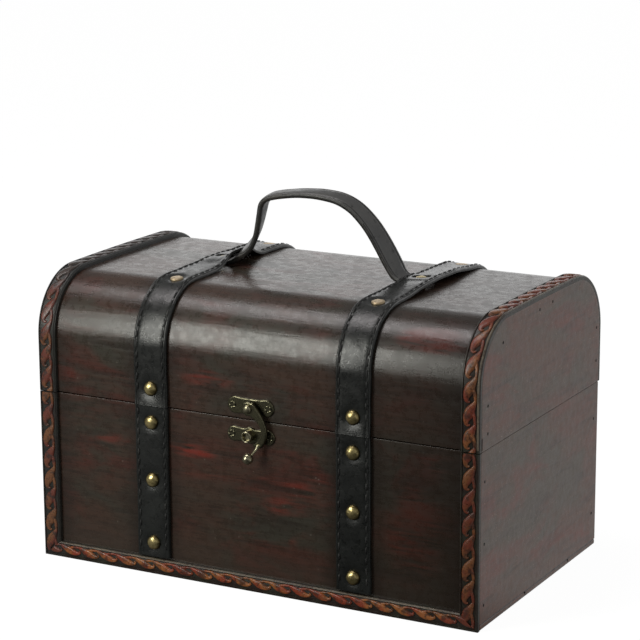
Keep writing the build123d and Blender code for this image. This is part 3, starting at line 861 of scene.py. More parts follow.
def pointMesh(name, places):  # points with a direction each
    mesh = bpy.data.meshes.new(name)
    mesh.from_pydata([Vector(p) * mm for p, facing in places], [], [])
    facings = mesh.attributes.new("facing", "FLOAT_VECTOR", "POINT")
    for item, (p, facing) in zip(facings.data, places):
        item.vector = facing
    return mesh


def oneMesh(name, meshes, finish, cuts=()):  # several meshes in one, trimmed by planes
    shape = bmesh.new()
    for mesh in meshes:
        shape.from_mesh(mesh)
        bpy.data.meshes.remove(mesh)
    for point, away in cuts:
        plane = {"plane_co": Vector(point) * mm, "plane_no": away}
        geometry = [*shape.verts, *shape.edges, *shape.faces]
        bmesh.ops.bisect_plane(shape, geom=geometry, dist=1e-7, clear_outer=True, **plane)
    mesh = bpy.data.meshes.new(name)
    shape.to_mesh(mesh)
    shape.free()
    oneFinish(mesh, finish)
    return mesh


def lengthOf(line):
    return sum((Vector(a) - Vector(b)).length for a, b in zip(line, line[1:]))


# Running scroll on the trim: a swelling flame with a curled tip, and a thin stem beside the next flame
scroll = {
    "pitch": 12.0, "rise": 0.95, "tail": 16.0, "gap": 0.2,
    "boxStart": -6.0, "footStart": -2.0, "lidStart": -3.0,
    "footLow": 1.3, "footShare": 0.72,
    "flame": [  # place along and across, and width
        (-0.6, 8.0, 0.6), (1.0, 7.5, 1.9), (2.5, 6.7, 3.1), (4.0, 5.8, 4.3), (5.5, 4.9, 5.3),
        (7.0, 4.2, 5.6), (8.5, 3.5, 4.9), (9.9, 3.0, 3.8), (11.2, 2.8, 2.8), (12.4, 3.1, 2.1),
        (13.0, 3.8, 1.5), (12.9, 4.6, 1.0), (12.3, 5.0, 0.5),
    ],
    "stem": [
        (5.0, 6.4, 1.0), (6.8, 6.9, 1.5), (8.6, 7.4, 1.7), (10.4, 7.7, 1.7), (12.0, 7.8, 1.4),
        (13.4, 7.3, 1.0),
    ],
}


def ridge(stations, rise):  # rounded raised band along (s, t, width)
    points, faces = [], []
    for i, (s, t, width) in enumerate(stations):
        before, after = stations[max(i - 1, 0)], stations[min(i + 1, len(stations) - 1)]
        along = Vector((after[0] - before[0], after[1] - before[1])).normalized()
        height = rise * min(1.0, 0.4 + width / 4.5)
        across = [(-0.5, -0.15), (-0.42, height * 0.86), (-0.22, height)]
        across += [(0.25, height), (0.43, height * 0.8), (0.5, -0.15)]
        for share, h in across:
            points.append((s - along.y * width * share, t + along.x * width * share, h))
    for i in range(len(stations) - 1):
        for k in range(5):
            a = i * 6 + k
            faces.append((a, a + 6, a + 7, a + 1))
    return points, faces


def scrollMotif(name, low, share):  # flame and stem, drawn narrower for the foot
    parts = []
    for key in ("flame", "stem"):
        stations = [(s, low + t * share, width * share) for s, t, width in scroll[key]]
        parts.append(ridge(stations, scroll["rise"]))
    return template(name, *joined(parts))


def scrollStrip(motif, line, across, start, length, cuts):  # line runs past both ends by the tail
    values = {
        "Motif": motif, "Pitch": scroll["pitch"] * mm, "Start": (scroll["tail"] + start) * mm,
        "Count": int(length / scroll["pitch"]) + 2, "Across": across,
        "Lift": (trim["thick"] - trim["sunk"]) * mm, "Jitter": 0.0, "Seed": 1, "Finish": finishes["scroll"],
    }
    strip = grown(trees["along"], lineMesh("scrollLine", line), values)
    return oneMesh("strip", [strip], finishes["scroll"], cuts)


def mitre(sign):  # point and direction of the cut at a lower corner
    return (sign * halfWidth, frontY, 0), Vector((sign * trim["foot"], 0, trim["width"]))


motif = scrollMotif("scrollMotif", 0.0, 1.0)
footMotif = scrollMotif("footMotif", scroll["footLow"], scroll["footShare"])
tail, gap = scroll["tail"], scroll["gap"]
boxStrips, lidStrips = [], []
for side, sign in (("left", -1), ("right", 1)):
    x = cadMm(f"box_trim_{side}")[0].x
    line = [(x, frontY, boxTop + tail), (x, frontY, -tail)]
    corner, away = mitre(sign)
    cuts = [((x, frontY, boxTop - gap), up), (corner, -away.normalized())]
    boxStrips.append(scrollStrip(motif, line, right, scroll["boxStart"], boxTop, cuts))
line = [(-halfWidth - tail, frontY, 0), (halfWidth + tail, frontY, 0)]
cuts = [mitre(-1), mitre(1)]
boxStrips.append(scrollStrip(footMotif, line, up, scroll["footStart"], 2 * halfWidth, cuts))
for side in ("left", "right"):
    x = cadMm(f"lid_trim_{side}")[0].x
    over = [(x, y, z) for y, z, a in domeLine(0, dome["rim"])]
    line = [(x, -frontY, dome["rim"] - tail), *over, (x, frontY, dome["rim"] - tail)]
    cuts = [((x, 0, dome["rim"] + gap), -up)]
    lidStrips.append(scrollStrip(motif, line, right, scroll["lidStart"], lengthOf(over), cuts))
for body, strips in (("box", boxStrips), ("lid", lidStrips)):
    pieceOf(f"scroll_{body}", oneMesh(f"scroll_{body}", strips, finishes["scroll"]), body)
print("scroll made")

# Leather straps: rounded edges, a groove for each stitch row, dimples round the studs
strap = {
    "x": 60.5, "half": 10.0, "thick": 2.2, "step": 1.2, "edge": 0.35, "waver": 0.35, "ripple": 0.16,
    "flare": 0.6, "freeFrom": 101.5,  # the free end bends away from the wood
    "hump": (19.0, 9.6), "tentReach": (27.0, 10.5), "flat": 6.5, "peak": (1.0, 0.0),  # left and right
    "lift": (1.5, 0.6), "tent": (5.2, 0.6), "drop": 0.8, "tilt": (0.0, 2.4),
    "boxStuds": (17.7, 53.0, 85.0), "lidStud": 103.7, "topStud": 9,  # heights, and degrees from upright
    "dimple": 0.8, "topDimple": 0.5, "reach": 5.4, "sink": 0.55, "topSink": 0.95, "backSink": 0.35,
    "row": 8.0, "rowDeep": 1.95, "rowStart": 3.2, "rowSpare": 3.5, "rowLift": 0.18, "rowTurn": 0.06,
    "pitch": 5.7, "stitch": 4.2, "thread": 0.6, "slot": (11.0, 7.2),
}
strapSection = [
    (-10.0, 0.0), (-10.0, 1.0), (-9.85, 1.65), (-9.45, 2.05), (-8.9, 2.2), (-8.55, 2.08), (-8.25, 1.95),
    (-7.75, 1.95), (-7.45, 2.08), (-7.1, 2.2), (-5.6, 2.28), (-4.2, 2.32), (-2.8, 2.35), (-1.4, 2.36),
    (0.0, 2.36), (1.4, 2.36), (2.8, 2.35), (4.2, 2.32), (5.6, 2.28), (7.1, 2.2), (7.45, 2.08), (7.75, 1.95),
    (8.25, 1.95), (8.55, 2.08), (8.9, 2.2), (9.45, 2.05), (9.85, 1.65), (10.0, 1.0), (10.0, 0.0),
]
studTurn = math.radians(strap["topStud"])
studY = dome["y"] + (dome["radius"] + strap["thick"]) * math.sin(studTurn)
studZ = dome["z"] + (dome["radius"] + strap["thick"]) * math.cos(studTurn)
strapFace = frontY - strap["thick"]
studSpots = {
    "box": [(strapFace, z) for z in strap["boxStuds"]],
    "lid": [(-strapFace, strap["lidStud"]), (studY, studZ), (-studY, studZ), (strapFace, strap["lidStud"])],
}


def clamped(value):
    return min(max(value, 0.0), 1.0)


def smooth(share):
    return share * share * (3 - 2 * share)


def strapFrames(side, which):  # (place, across, outward, flare) along the strap's underside
    x = strap["x"] * side
    frames = []
    if which == "box":
        low, high = cadMm("box_strap_left")
        count = round((high.z - low.z) / strap["step"])
        for i in range(count + 1):
            frames.append((Vector((x, frontY, high.z + (low.z - high.z) * i / count)), right, front, 0.0))
        return frames
    for y, z, a in domeLine(0, dome["rim"], strap["step"]):
        outward = Vector((0, math.cos(a), math.sin(a)))
        free = (strap["freeFrom"] - z) / (strap["freeFrom"] - dome["rim"])
        end = max(0.0, free) if y < 0 else 0.0
        frames.append((Vector((x, y, z)), right, outward, strap["flare"] * end * end))
    return frames


def humpShare(y, reach, peak):  # 1 over the foot of the handle, 0 further off
    return smooth(clamped((reach - abs(y - peak)) / (reach - strap["flat"])))


def tilted(y, side, t):  # the outer edge of the right strap stands off the top
    share = clamped((y + 42) / 34) * clamped((48 - y) / 30)
    return strap["tilt"][int(side > 0)] * smooth(share) * (1 + t * side / strap["half"]) / 2


def strapHeight(place, side, t, flare):  # how far a point of the strap stands off its place in the section
    inner = max(0.0, -t * side / strap["half"])  # 1 at the edge nearer the middle of the chest
    outer = max(0.0, t * side / strap["half"])
    raised = flare + strap["edge"] * (abs(t) / strap["half"]) ** 6
    if place.z > topFrom:
        keys = ("peak", "lift", "tent", "hump", "tentReach")
        peak, lift, tent, hump, tentReach = (strap[key][int(side > 0)] for key in keys)
        raised += lift * humpShare(place.y, hump, peak) * (1 - strap["drop"] * outer**1.5)
        raised += tent * humpShare(place.y, tentReach, peak) * inner**2
    if place.z > dome["z"]:
        raised += tilted(place.y, side, t)
    return raised


def strapDent(point, which, t):  # dimple round each stud
    depth = 0.0
    for y, z in studSpots[which]:
        gap = (Vector((point.y, point.z)) - Vector((y, z))).length
        deep = strap["dimple"] + (strap["topDimple"] if z > topFrom else 0.0)
        depth += deep * math.exp(-((math.hypot(gap, t) / strap["reach"]) ** 4))
    return depth


def strapPoint(station, which, side, t, h):
    place, across, outward, flare = station
    wave = noise.noise(Vector((place.y * 0.07, place.z * 0.07, side * 5 + t * 0.02)))
    ripple = noise.noise(Vector((place.y * 0.16 + t * 0.15, place.z * 0.16, side * 9)))
    raised = strapHeight(place, side, t, flare)
    if h > 0.5:
        raised += strap["ripple"] * ripple - strapDent(place + outward * strap["thick"], which, t)
    return place + across * (t + strap["waver"] * wave * min(abs(t) / 8, 1)) + outward * (h + raised)


def strapSkin(side, which):
    stations = strapFrames(side, which)
    points = [strapPoint(station, which, side, t, h) for station in stations for t, h in strapSection]
    return points, tubeFaces(len(stations), len(strapSection))


def stitchRow(side, which, t, stitch):
    line = [strapPoint(station, which, side, t, strap["rowDeep"]) for station in strapFrames(side, which)]
    values = {
        "Motif": stitch, "Pitch": strap["pitch"] * mm, "Start": strap["rowStart"] * mm,
        "Count": int((lengthOf(line) - strap["rowSpare"]) / strap["pitch"]), "Across": right,
        "Lift": strap["rowLift"] * mm, "Jitter": strap["rowTurn"], "Seed": 5 + side,
        "Finish": finishes["thread"],
    }
    return grown(trees["along"], lineMesh("row", line), values)


def capsule(length, radius, sides=6):  # thread laid along s
    rings = [(-0.5, 0.0), (-0.46, 0.6), (-0.3, 1.0), (0.3, 1.0), (0.46, 0.6), (0.5, 0.0)]
    points = []
    for share, wide in rings:
        sag = -radius * 1.3 * (1 - wide)
        for k in range(sides):
            angle = 2 * math.pi * k / sides
            t, h = wide * radius * math.cos(angle), wide * radius * math.sin(angle) + sag
            points.append((share * length, t, h))
    return points, ringFaces(len(rings), sides)


def cutSlot(piece, side, sides=24):  # slot with round ends, over the rivet
    length, width = strap["slot"]
    outline = []
    for k in range(sides):
        angle = 2 * math.pi * (k + 0.5) / sides
        shift = math.copysign((length - width) / 2, math.cos(angle))
        outline.append((strap["x"] * side + shift + width / 2 * math.cos(angle), width / 2 * math.sin(angle)))
    points = [(x, y, z) for z in (dome["top"] - 1, dome["top"] + 12) for x, y in outline]
    cut = piece.modifiers.new("slot", "BOOLEAN")
    cut.operation = "DIFFERENCE"
    cut.solver = "MANIFOLD"
    cut.object = template("slot", points, tubeFaces(2, sides))
    mesh = evaluated(piece)
    piece.modifiers.remove(cut)
    piece.data = mesh


stitch = template("stitch", *capsule(strap["stitch"], strap["thread"]))
for body in ("box", "lid"):
    rows = []
    for side, name in ((-1, "left"), (1, "right")):
        made = newPiece(
            f"strap_{body}_{name}", *strapSkin(side, body), [finishes["strap"]], body, "strap_leather",
            [f"{body}_strap_{name}"], None, 60,
        )
        if body == "lid":
            cutSlot(made, side)
        rows += [stitchRow(side, body, t, stitch) for t in (-strap["row"], strap["row"])]
    pieceOf(f"stitches_{body}", oneMesh(f"stitches_{body}", rows, finishes["thread"]), body)
print("straps made")

# Round parts: hammered studs, rivets, brads
roundSet = {
    "stud": [(4.0, -0.6), (4.05, 0.3), (3.85, 0.9), (3.35, 1.6), (2.5, 2.2), (1.3, 2.5), (0.0, 2.6)],
    "flatStud": [(3.6, -0.8), (3.65, 0.2), (3.4, 0.68), (2.9, 0.88), (1.4, 0.94), (0.0, 0.95)],
    "rivet": [(3.0, -0.4), (3.0, 0.35), (2.6, 0.85), (1.5, 1.2), (0.0, 1.3)],
    "brad": [(0.85, -0.2), (0.85, 0.05), (0.6, 0.12), (0.0, 0.05)],
    "rivetSink": 2.1,
    "spin": 3.1,
}


def turned(profile, sides, dent=0.0, seed=0):  # revolved about its own axis, dented a little
    points = []
    for r, h in profile[:-1]:
        for k in range(sides):
            angle = 2 * math.pi * k / sides
            spot = Vector((r * math.cos(angle), r * math.sin(angle), h))
            points.append(spot + spot.normalized() * dent * noise.noise(spot * 0.55 + Vector((seed, 0, 0))))
    top = len(points)
    last = top - sides
    points.append((0, 0, profile[-1][1]))
    faces = ringFaces(len(profile) - 1, sides)
    faces += [(last + k, last + (k + 1) % sides, top) for k in range(sides)]
    return points, faces + [tuple(range(sides))]


def setOut(name, part, places, finish, seed, body, stands=(), spin=roundSet["spin"]):
    values = {"Part": part, "Spin": spin, "Seed": seed, "Finish": finish}
    mesh = grown(trees["points"], pointMesh("spots", places), values)
    pieceOf(name, oneMesh(name, [mesh], finish), body, stands)


def pointing(y, z):  # outward direction of the dome at a spot
    if z < dome["z"]:
        return Vector((0, math.copysign(1, y), 0))
    return Vector((0, y - math.copysign(dome["y"], y), z - dome["z"])).normalized()


stud = template("stud", *turned(roundSet["stud"], 20, 0.3), 4.0)
flatStud = template("flatStud", *turned(roundSet["flatStud"], 20, 0.15), 3.6)
for body in ("box", "lid"):
    domed, sunk = [], []
    for side in (-1, 1):
        for y, z in studSpots[body]:
            facing = pointing(y, z)
            spot = Vector((strap["x"] * side, y, z))
            if z < topFrom:
                domed.append((spot - facing * strap["sink"], facing))
            else:
                deep = strap["topSink"] + (strap["backSink"] if y > 0 else 0.0) - tilted(y, side, 0.0)
                sunk.append((spot - facing * deep, (facing + up).normalized()))
    setOut(f"studs_{body}", stud, domed, finishes["brass"], 4, body, [f"{body}_studs"])
    if sunk:
        # the studs on top take the paler brass, as painted reflection
        setOut("studs_shoulder", flatStud, sunk, finishes["paleHighlight"], 4, body)

rivet = template("rivet", *turned(roundSet["rivet"], 18, 0.1))
rivetZ = cadMm("handle_rivets")[1].z - roundSet["rivetSink"]
heads = [(Vector((strap["x"] * side, 0, rivetZ + 0.6 * tilted(0, side, 0))), up) for side in (-1, 1)]
tails = [(Vector((strap["x"] * side, 0, ceiling)), -up) for side in (-1, 1)]
setOut("rivets_handle", rivet, heads, finishes["brass"], 2, "lid", ["handle_rivets"])
setOut("rivets_tails", rivet, tails, finishes["iron"], 2, "lid")

# Brads in the edges of the end panels, driven just below the face
bradSet = {
    "box": [
        (-72.4, 77.9), (-72.3, 12.6), (-72.2, 45.0), (71.2, 19.4), (71.5, 74.0), (-20.0, 2.2), (38.0, 2.0),
    ],
    "lid": [
        (-69.4, 102.1), (-69.6, 116.5), (-6.0, 152.2), (10.9, 152.9), (73.2, 125.3), (73.4, 106.6),
        (-52.0, 145.0),
    ],
}
brad = template("brad", *turned(roundSet["brad"], 10))
for body, spots in bradSet.items():
    places = []
    for side in (-1, 1):
        places += [(Vector((side * halfWidth, y, z)), Vector((side, 0, 0))) for y, z in spots]
    setOut(f"brads_{body}", brad, places, finishes["iron"], 6, body)
print("studs made")

# Carrying handle: a flat leather strip, leaning to the front and creased near both edges
handle = {
    "line": [  # x, z and lean in degrees
        (-65.5, 157.95, 0), (-60.0, 158.0, 0), (-54.5, 159.0, 6), (-49.0, 163.0, 18), (-43.0, 168.6, 25),
        (-39.7, 174.6, 21), (-37.8, 180.9, 16), (-36.3, 187.4, 12), (-34.9, 192.7, 9), (-31.5, 196.1, 7),
        (-25.6, 197.9, 6), (-19.3, 199.0, 5), (-12.8, 199.9, 5), (-6.6, 200.3, 6), (-0.5, 200.4, 8),
        (5.4, 200.0, 10), (11.1, 199.2, 12), (16.6, 197.4, 14), (21.9, 194.5, 16), (26.7, 190.5, 19),
        (31.1, 185.9, 22), (34.9, 180.9, 25), (38.4, 175.6, 28), (41.7, 170.2, 29), (44.6, 165.4, 26),
        (47.4, 161.2, 18), (51.0, 159.0, 8), (56.0, 158.1, 0), (65.5, 157.95, 0),
    ],
    "section": [
        (-5.8, -0.5), (-5.8, 0.5), (-5.55, 1.1), (-5.0, 1.45), (-4.5, 1.45), (-4.2, 1.2), (-3.9, 1.45),
        (-2.6, 1.6), (0.0, 1.66), (2.6, 1.6), (3.9, 1.45), (4.2, 1.2), (4.5, 1.45), (5.0, 1.45), (5.55, 1.1),
        (5.8, 0.5), (5.8, -0.5), (5.55, -1.1), (5.0, -1.45), (2.6, -1.5), (0.0, -1.5), (-2.6, -1.5),
        (-5.0, -1.45), (-5.55, -1.1),
    ],
    "parts": 4,
    "skive": (51.0, 6.0, 0.55),  # x where the feet start to thin out, over what length, and by what share
    "middleZ": 165,
}


def smoothLine(knots, parts):  # curve through all the knots
    padded = [2 * knots[0] - knots[1], *knots, 2 * knots[-1] - knots[-2]]
    line = []
    for a, b, c, d in zip(padded, padded[1:], padded[2:], padded[3:]):
        for i in range(parts):
            u = i / parts
            bends = (2 * a - 5 * b + 4 * c - d) * u**2 + (3 * b - a - 3 * c + d) * u**3
            line.append(0.5 * (2 * b + (c - a) * u + bends))
    return line + [knots[-1]]


handleLine = smoothLine([Vector(knot) for knot in handle["line"]], handle["parts"])
handleFrames = []
for i, spot in enumerate(handleLine):
    step = handleLine[min(i + 1, len(handleLine) - 1)] - handleLine[max(i - 1, 0)]
    along = Vector((step.x, 0, step.y)).normalized()
    normal = Vector((-along.z, 0, along.x))
    lean = math.radians(spot.z)
    across = normal * math.sin(lean) - front * math.cos(lean)
    outward = normal * math.cos(lean) + front * math.sin(lean)
    handleFrames.append((Vector((spot.x, 0, spot.y)), across, outward))


def skived(ring, t, h):  # the feet thin out under the straps
    start, length, share = handle["skive"]
    return t, h * (1 - share * clamped((abs(handleFrames[ring][0].x) - start) / length))


def edgesAndShadedFaces(middle, facing):  # the edges of the strip, and as painted shade its faces turned to the middle of the arch
    return abs(facing.y) > 0.8 or facing.x * middle.x + facing.z * (middle.z - handle["middleZ"]) < 0


# the edges, the underside and the inner faces of the legs take the darker leather, partly as painted shade
newPiece(
    "handle_strip", *sweep(handleFrames, handle["section"], skived),
    [finishes["handle"], finishes["handleEdgeAndShade"]], "lid", "handle_leather", ["handle"], edgesAndShadedFaces, 60,
)
print("handle made")

# Clasp: flat bronze plates with eased edges, a hollow post, a swing hook, and screws with a cross
claspSet = {
    "thick": 1.0, "edge": 0.42, "hookEdge": 0.5, "sharp": 52,
    "plate": (13.75, 4.7, 4.1), "plateZ": 101.2,  # half width, lobe and waist
    "keeper": (14.2, 4.1, 3.5), "keeperZ": 85.5, "keeperMiddle": 4.5,
    "pivotZ": 100.6, "boss": [(3.2, 0.9), (3.2, 2.2), (3.0, 2.4), (0.0, 2.4)],
    "head": [(2.2, 3.9), (2.35, 4.5), (2.15, 5.2), (1.6, 5.65), (0.8, 5.85), (0.0, 5.9)],
    "postX": -0.8,
    "post": [
        (3.1, 0.9), (3.1, 4.4), (2.98, 4.8), (2.7, 5.0), (2.4, 4.95), (2.15, 4.6), (2.1, 3.0), (0.0, 2.9),
    ],
    "plateScrewX": 10.7, "keeperScrewX": 11.3, "screw": 1.95,
    "hookBase": 2.5, "hookThick": 1.6,
    "outer": [(2.64, 3.56), (10.69, -9.5), (7.66, -20.07)],
    "tooth": [(3.84, -20.07), (2.95, -19.55), (2.85, -18.55)],
    "innerSide": [(5.35, -16.9), (7.35, -9.6), (1.1, -3.64)],
    "eye": 3.8,
    "tail": [  # x, z, how far forward, and radius
        (6.1, -18.4, 3.3, 1.25), (5.5, -20.2, 4.0, 1.1), (4.6, -22.0, 5.4, 0.9), (3.5, -23.8, 7.0, 0.85),
        (2.7, -25.0, 8.1, 0.9),
    ],
    "ball": (2.4, -25.4, 8.5, 3.0),
}


def slab(outline, base, thick, edge):  # outline of (x, z) standing forward of the front
    size = len(outline)
    area = sum(a[0] * b[1] - b[0] * a[1] for a, b in zip(outline, outline[1:] + outline[:1]))
    line = [Vector(p) for p in (outline if area > 0 else outline[::-1])]
    inward = []
    for i in range(size):
        along = (line[(i + 1) % size] - line[i - 1]).normalized()
        inward.append(Vector((-along.y, along.x)))
    rings = [(0, 0), (0, thick - edge), (chamfer * edge, thick - chamfer * edge)]
    rings += [(edge, thick), (edge + 0.35, thick)]
    points = []
    for inset, h in rings:
        for spot, way in zip(line, inward):
            spot = spot + way * inset
            points.append((spot.x, frontY - base - h, spot.y))
    return points, tubeFaces(len(rings), size)


def bowTie(half, lobe, waist, z, middle=0.0, count=14):  # two round lobes joined by a waisted bar
    reach = half - lobe
    upper = []
    for i in range(2 * count + 1):
        x = reach * (1 - i / count)
        tall = waist + (lobe - waist) * abs(x / reach) ** 3
        bulge = middle**2 - (x - claspSet["postX"]) ** 2
        upper.append((x, max(tall, math.sqrt(max(bulge, 0.0)))))
    lobeTurns = [math.pi * (i / count - 0.5) for i in range(1, count)]
    outline = [(reach + lobe * math.cos(a), lobe * math.sin(a)) for a in lobeTurns]
    outline += upper
    outline += [(-reach - lobe * math.cos(a), -lobe * math.sin(a)) for a in lobeTurns]
    outline += [(x, -tall) for x, tall in reversed(upper)]
    return [(x, z + tall) for x, tall in outline]


def bend(a, b, c, count):  # smooth curve from a through b to c
    a, b, c = Vector(a), Vector(b), Vector(c)
    pull = 2 * b - (a + c) / 2
    shares = [i / count for i in range(count + 1)]
    return [tuple(a * (1 - u) ** 2 + pull * 2 * u * (1 - u) + c * u**2) for u in shares]


def forward(part, x, z):  # a turned part set to stand forward of the front
    points, faces = part
    return [(x + p[0], frontY - p[2], z + p[1]) for p in points], faces


def crossHead(radius):  # screw head with a crossed recess, its axis along the third number
    arm, length = 0.22, 0.62  # half width and half length of the cross, as shares of the radius
    stops = [-1, -0.86, -length, -0.34, -arm, 0, arm, 0.34, length, 0.86, 1]
    size = len(stops)
    points, faces = [], []
    for v in stops:
        for u in stops:
            x, y = u * math.sqrt(1 - v * v / 2), v * math.sqrt(1 - u * u / 2)
            inCross = min(abs(u), abs(v)) <= arm and max(abs(u), abs(v)) <= length
            rise = 0.30 + 0.32 * math.sqrt(max(0.0, 1.05 - x * x - y * y)) - (0.55 if inCross else 0.0)
            points.append((x * radius, y * radius, rise))
    for j in range(size - 1):
        for i in range(size - 1):
            a = j * size + i
            faces.append((a, a + 1, a + size + 1, a + size))
    return points, faces


def ballOf(x, z, y, radius, rings=10, sides=16):  # cast ball, a little flat in front
    profile = []
    for i in range(1, rings + 1):
        angle = math.pi * i / rings - math.pi / 2
        profile.append((radius * math.cos(angle) if i < rings else 0.0, y + radius * 0.94 * math.sin(angle)))
    return forward(turned(profile, sides, 0.05, 3), x, z)


def tailRound(ring, t, h):
    radius = claspSet["tail"][ring][3]
    return t * radius, h * radius


def claspPiece(name, shape, finish, body, stands=()):
    newPiece(name, *shape, [finishes[finish]], body, "aged_bronze", stands, None, claspSet["sharp"])


plateZ, keeperZ, pivotZ = claspSet["plateZ"], claspSet["keeperZ"], claspSet["pivotZ"]
lidPlate = slab(bowTie(*claspSet["plate"], plateZ), 0.0, claspSet["thick"], claspSet["edge"])
lidBoss = forward(turned(claspSet["boss"], 24), 0.0, pivotZ)
lidHead = forward(turned(claspSet["head"], 20, 0.05, 2), 0.0, pivotZ)
keeperOutline = bowTie(*claspSet["keeper"], keeperZ, claspSet["keeperMiddle"])
keeper = slab(keeperOutline, 0.0, claspSet["thick"], claspSet["edge"])
post = forward(turned(claspSet["post"], 28), claspSet["postX"], keeperZ)
eyeTurns = [math.radians(-75 - 225 * i / 20) for i in range(21)]
hookOutline = bend(*claspSet["outer"], 18) + claspSet["tooth"] + bend(*claspSet["innerSide"], 14)
hookOutline += [(claspSet["eye"] * math.cos(a), claspSet["eye"] * math.sin(a)) for a in eyeTurns]
hookOutline = [(x, pivotZ + z) for x, z in hookOutline]
hookArm = slab(hookOutline, claspSet["hookBase"], claspSet["hookThick"], claspSet["hookEdge"])
tailRing = [(math.cos(2 * math.pi * k / 12), math.sin(2 * math.pi * k / 12)) for k in range(12)]
tailFrames = [(Vector((x, frontY - y, pivotZ + z)), right, front) for x, z, y, radius in claspSet["tail"]]
x, z, y, radius = claspSet["ball"]
hookBall = ballOf(x, pivotZ + z, y, radius)
claspPiece("clasp_lid", joined([lidPlate, lidBoss]), "bronze", "lid", ["clasp_plate"])
# the pivot head, the post, the tail and the ball are in the lighter bronze, worn and painted as highlight
claspPiece("clasp_pivot", lidHead, "worn", "lid", ["hook_pivot"])
claspPiece("clasp_box", keeper, "bronze", "box", ["keeper_plate"])
claspPiece("clasp_post", post, "worn", "box", ["keeper_post"])
claspPiece("clasp_hook", hookArm, "bronze", "hook", ["swing_hook"])
claspPiece("clasp_tail", joined([sweep(tailFrames, tailRing, tailRound), hookBall]), "worn", "hook")

screw = template("screw", *crossHead(claspSet["screw"]))
screwY = frontY - claspSet["thick"] + 0.1
for body, node, key in (("lid", "clasp_screws", "plate"), ("box", "keeper_screws", "keeper")):
    x, z = claspSet[key + "ScrewX"], claspSet[key + "Z"]
    places = [(Vector((side * x, screwY, z)), front) for side in (-1, 1)]
    setOut(f"clasp_{body}_screws", screw, places, finishes["bronze"], 8, body, [node], 0.7)
for part in templates:
    bpy.data.objects.remove(part)

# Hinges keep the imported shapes, with softened edges
hingeSet = {
    "box": ["box_leaf_left", "box_leaf_right", "pin_left", "pin_right", "box_screws"],
    "lid": ["lid_leaf_left", "lid_leaf_right", "lid_screws"],
    "edge": 0.12, "sharp": 35, "merge": 0.02,
}
for body in ("box", "lid"):
    nodes = ["hinge_" + key for key in hingeSet[body]]
    shape = bmesh.new()
    for node in nodes:
        shape.from_mesh(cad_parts[node].data)
    bmesh.ops.remove_doubles(shape, verts=shape.verts, dist=hingeSet["merge"] * mm)
    bmesh.ops.dissolve_limit(shape, angle_limit=0.02, verts=shape.verts, edges=shape.edges)
    bmesh.ops.recalc_face_normals(shape, faces=shape.faces)
    sharpEdges = [e for e in shape.edges if len(e.link_faces) == 2 and e.calc_face_angle() > 0.6]
    bevel = {"offset": hingeSet["edge"] * mm, "segments": 2, "profile": 0.5, "clamp_overlap": True}
    bmesh.ops.bevel(shape, geom=sharpEdges, affect="EDGES", **bevel)
    hingeMesh = bpy.data.meshes.new(f"hinge_{body}")
    shape.to_mesh(hingeMesh)
    shape.free()
    oneFinish(hingeMesh, finishes["plate"])
    hingeMesh.set_sharp_from_angle(angle=math.radians(hingeSet["sharp"]))
    pieceOf(f"hinge_{body}", hingeMesh, body, nodes)
print("metal made")

# Stage: white floor and surround, soft lamps, and the camera of the photograph
stage = {
    "ambient": (0.26, 0.90), "fromRight": (0.0, 0.9),  # soft light, more of it from the right
    "front": 0.14, "side": 0.5, "aside": (0.1, 0.8), "behind": (-0.15, 0.45),
    "back": 1.6, "high": 0.22, "horizon": (0.22, 0.40), "sill": (0.16, 0.23, 0.80, 1.10),
    "floorFront": (-0.26, 0.06, 0.16, 0.02), "floorNear": (-0.50, -0.12, 0.65, 1.4),
    "floorBack": (-0.02, 0.14, 0.0, 0.60), "floorSlant": 0.9, "floorSoft": 0.42,
    "share": 0.86, "white": 1.10, "grey": 0.85, "reach": 6.0,
}


def seenBy(wire, key):
    return wire.node("LightPath", out=key)


def rayStrength(wire, seen, shown, soft):  # for the camera, for reflections and for all other rays
    direct = seenBy(wire, "Is Camera Ray")
    bounced = seenBy(wire, "Is Glossy Ray") + seenBy(wire, "Is Transmission Ray")
    return direct * seen + bounced * shown + (1.0 - direct - bounced) * soft


world = bpy.data.worlds.new("whiteRoom")
bpy.context.scene.world = world
world.use_nodes = True
world.node_tree.nodes.clear()
sky = Wire(world.node_tree)
sideways, away, climb = split(sky.node("TexCoord", out="Generated"))
backWall = between(climb, *stage["horizon"], stage["back"], stage["high"]) * between(climb, *stage["sill"])
behind = between(away, *stage["behind"])
room = behind * backWall + (1.0 - behind) * between(sideways, *stage["aside"], stage["front"], stage["side"])
ambient = between(sideways, *stage["fromRight"], *stage["ambient"])
strength = rayStrength(sky, 1.0, room, ambient)
background = sky.node("Background", {"Color": (1, 1, 1, 1), "Strength": strength})
background.node("OutputWorld", {"Surface": background})

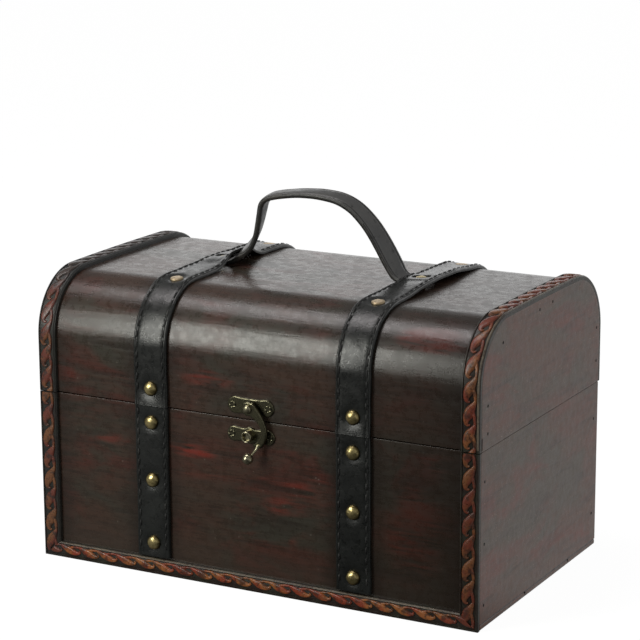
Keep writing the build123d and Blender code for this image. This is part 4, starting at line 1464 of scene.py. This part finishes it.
reach = stage["reach"]
floorMesh = bpy.data.meshes.new("floor")
corners = [(-reach, -reach, 0), (reach, -reach, 0), (reach, reach, 0), (-reach, reach, 0)]
floorMesh.from_pydata(corners, [], [(0, 1, 2, 3)])
floor = addObject("floor", floorMesh)
floorFinish, floorPlace = startFinish("paleFloor")
matt = floorPlace.node("BsdfDiffuse", {"Color": (stage["grey"], stage["grey"], stage["grey"], 1)})
floorX, floorY, floorZ = split(floorPlace)
near = between(floorX, *stage["floorFront"]) * between(floorY, *stage["floorNear"])
shine = near + between(floorY + floorX * stage["floorSlant"], *stage["floorBack"])
level = rayStrength(floorPlace, stage["white"], shine, stage["floorSoft"])
lit = floorPlace.node("Emission", {"Color": (1, 1, 1, 1), "Strength": level})
direct = seenBy(floorPlace, "Is Camera Ray")
floorMix = floorPlace.node("MixShader", {0: direct * stage["share"] + (1.0 - direct), 1: matt, 2: lit})
floorPlace.node("OutputMaterial", {"Surface": floorMix})
floorMesh.materials.append(floorFinish)

lamps = {
    "key": {"at": (-0.36, -0.66, 0.37), "size": (0.22, 0.46), "watts": 3.2, "colour": (1.0, 1.0, 0.93)},
    "over": {"at": (-0.34, -0.12, 1.04), "size": (0.36, 0.56), "watts": 3.5, "colour": (1.0, 0.95, 0.95)},
}
lampTarget = Vector((0, -0.06, 0.13))
for name, lamp in lamps.items():
    data = bpy.data.lights.new(name, "AREA")
    data.shape = "RECTANGLE"
    data.size, data.size_y = lamp["size"]
    data.energy = lamp["watts"]
    data.color = lamp["colour"]
    light = addObject(name, data)
    light.location = lamp["at"]
    light.rotation_euler = (Vector(lamp["at"]) - lampTarget).to_track_quat("Z", "Y").to_euler()

cameraSet = {
    "at": (0.60986, -1.13200, 0.44463),
    "right": (0.88073, 0.47360, -0.00497),
    "up": (-0.10806, 0.21116, 0.97146),
    "lens": 136.72,
    "sensor": 36,
}
cameraData = bpy.data.cameras.new("camera")
cameraData.lens = cameraSet["lens"]
cameraData.sensor_width = cameraSet["sensor"]
camera = addObject("camera", cameraData)
rightWay = Vector(cameraSet["right"]).normalized()
backWay = rightWay.cross(Vector(cameraSet["up"])).normalized()
upWay = backWay.cross(rightWay)
turn = Matrix((rightWay, upWay, backWay)).transposed().to_4x4()
camera.matrix_world = Matrix.Translation(cameraSet["at"]) @ turn
bpy.context.scene.camera = camera
bpy.context.scene.view_settings.view_transform = "Standard"
print("stage set")
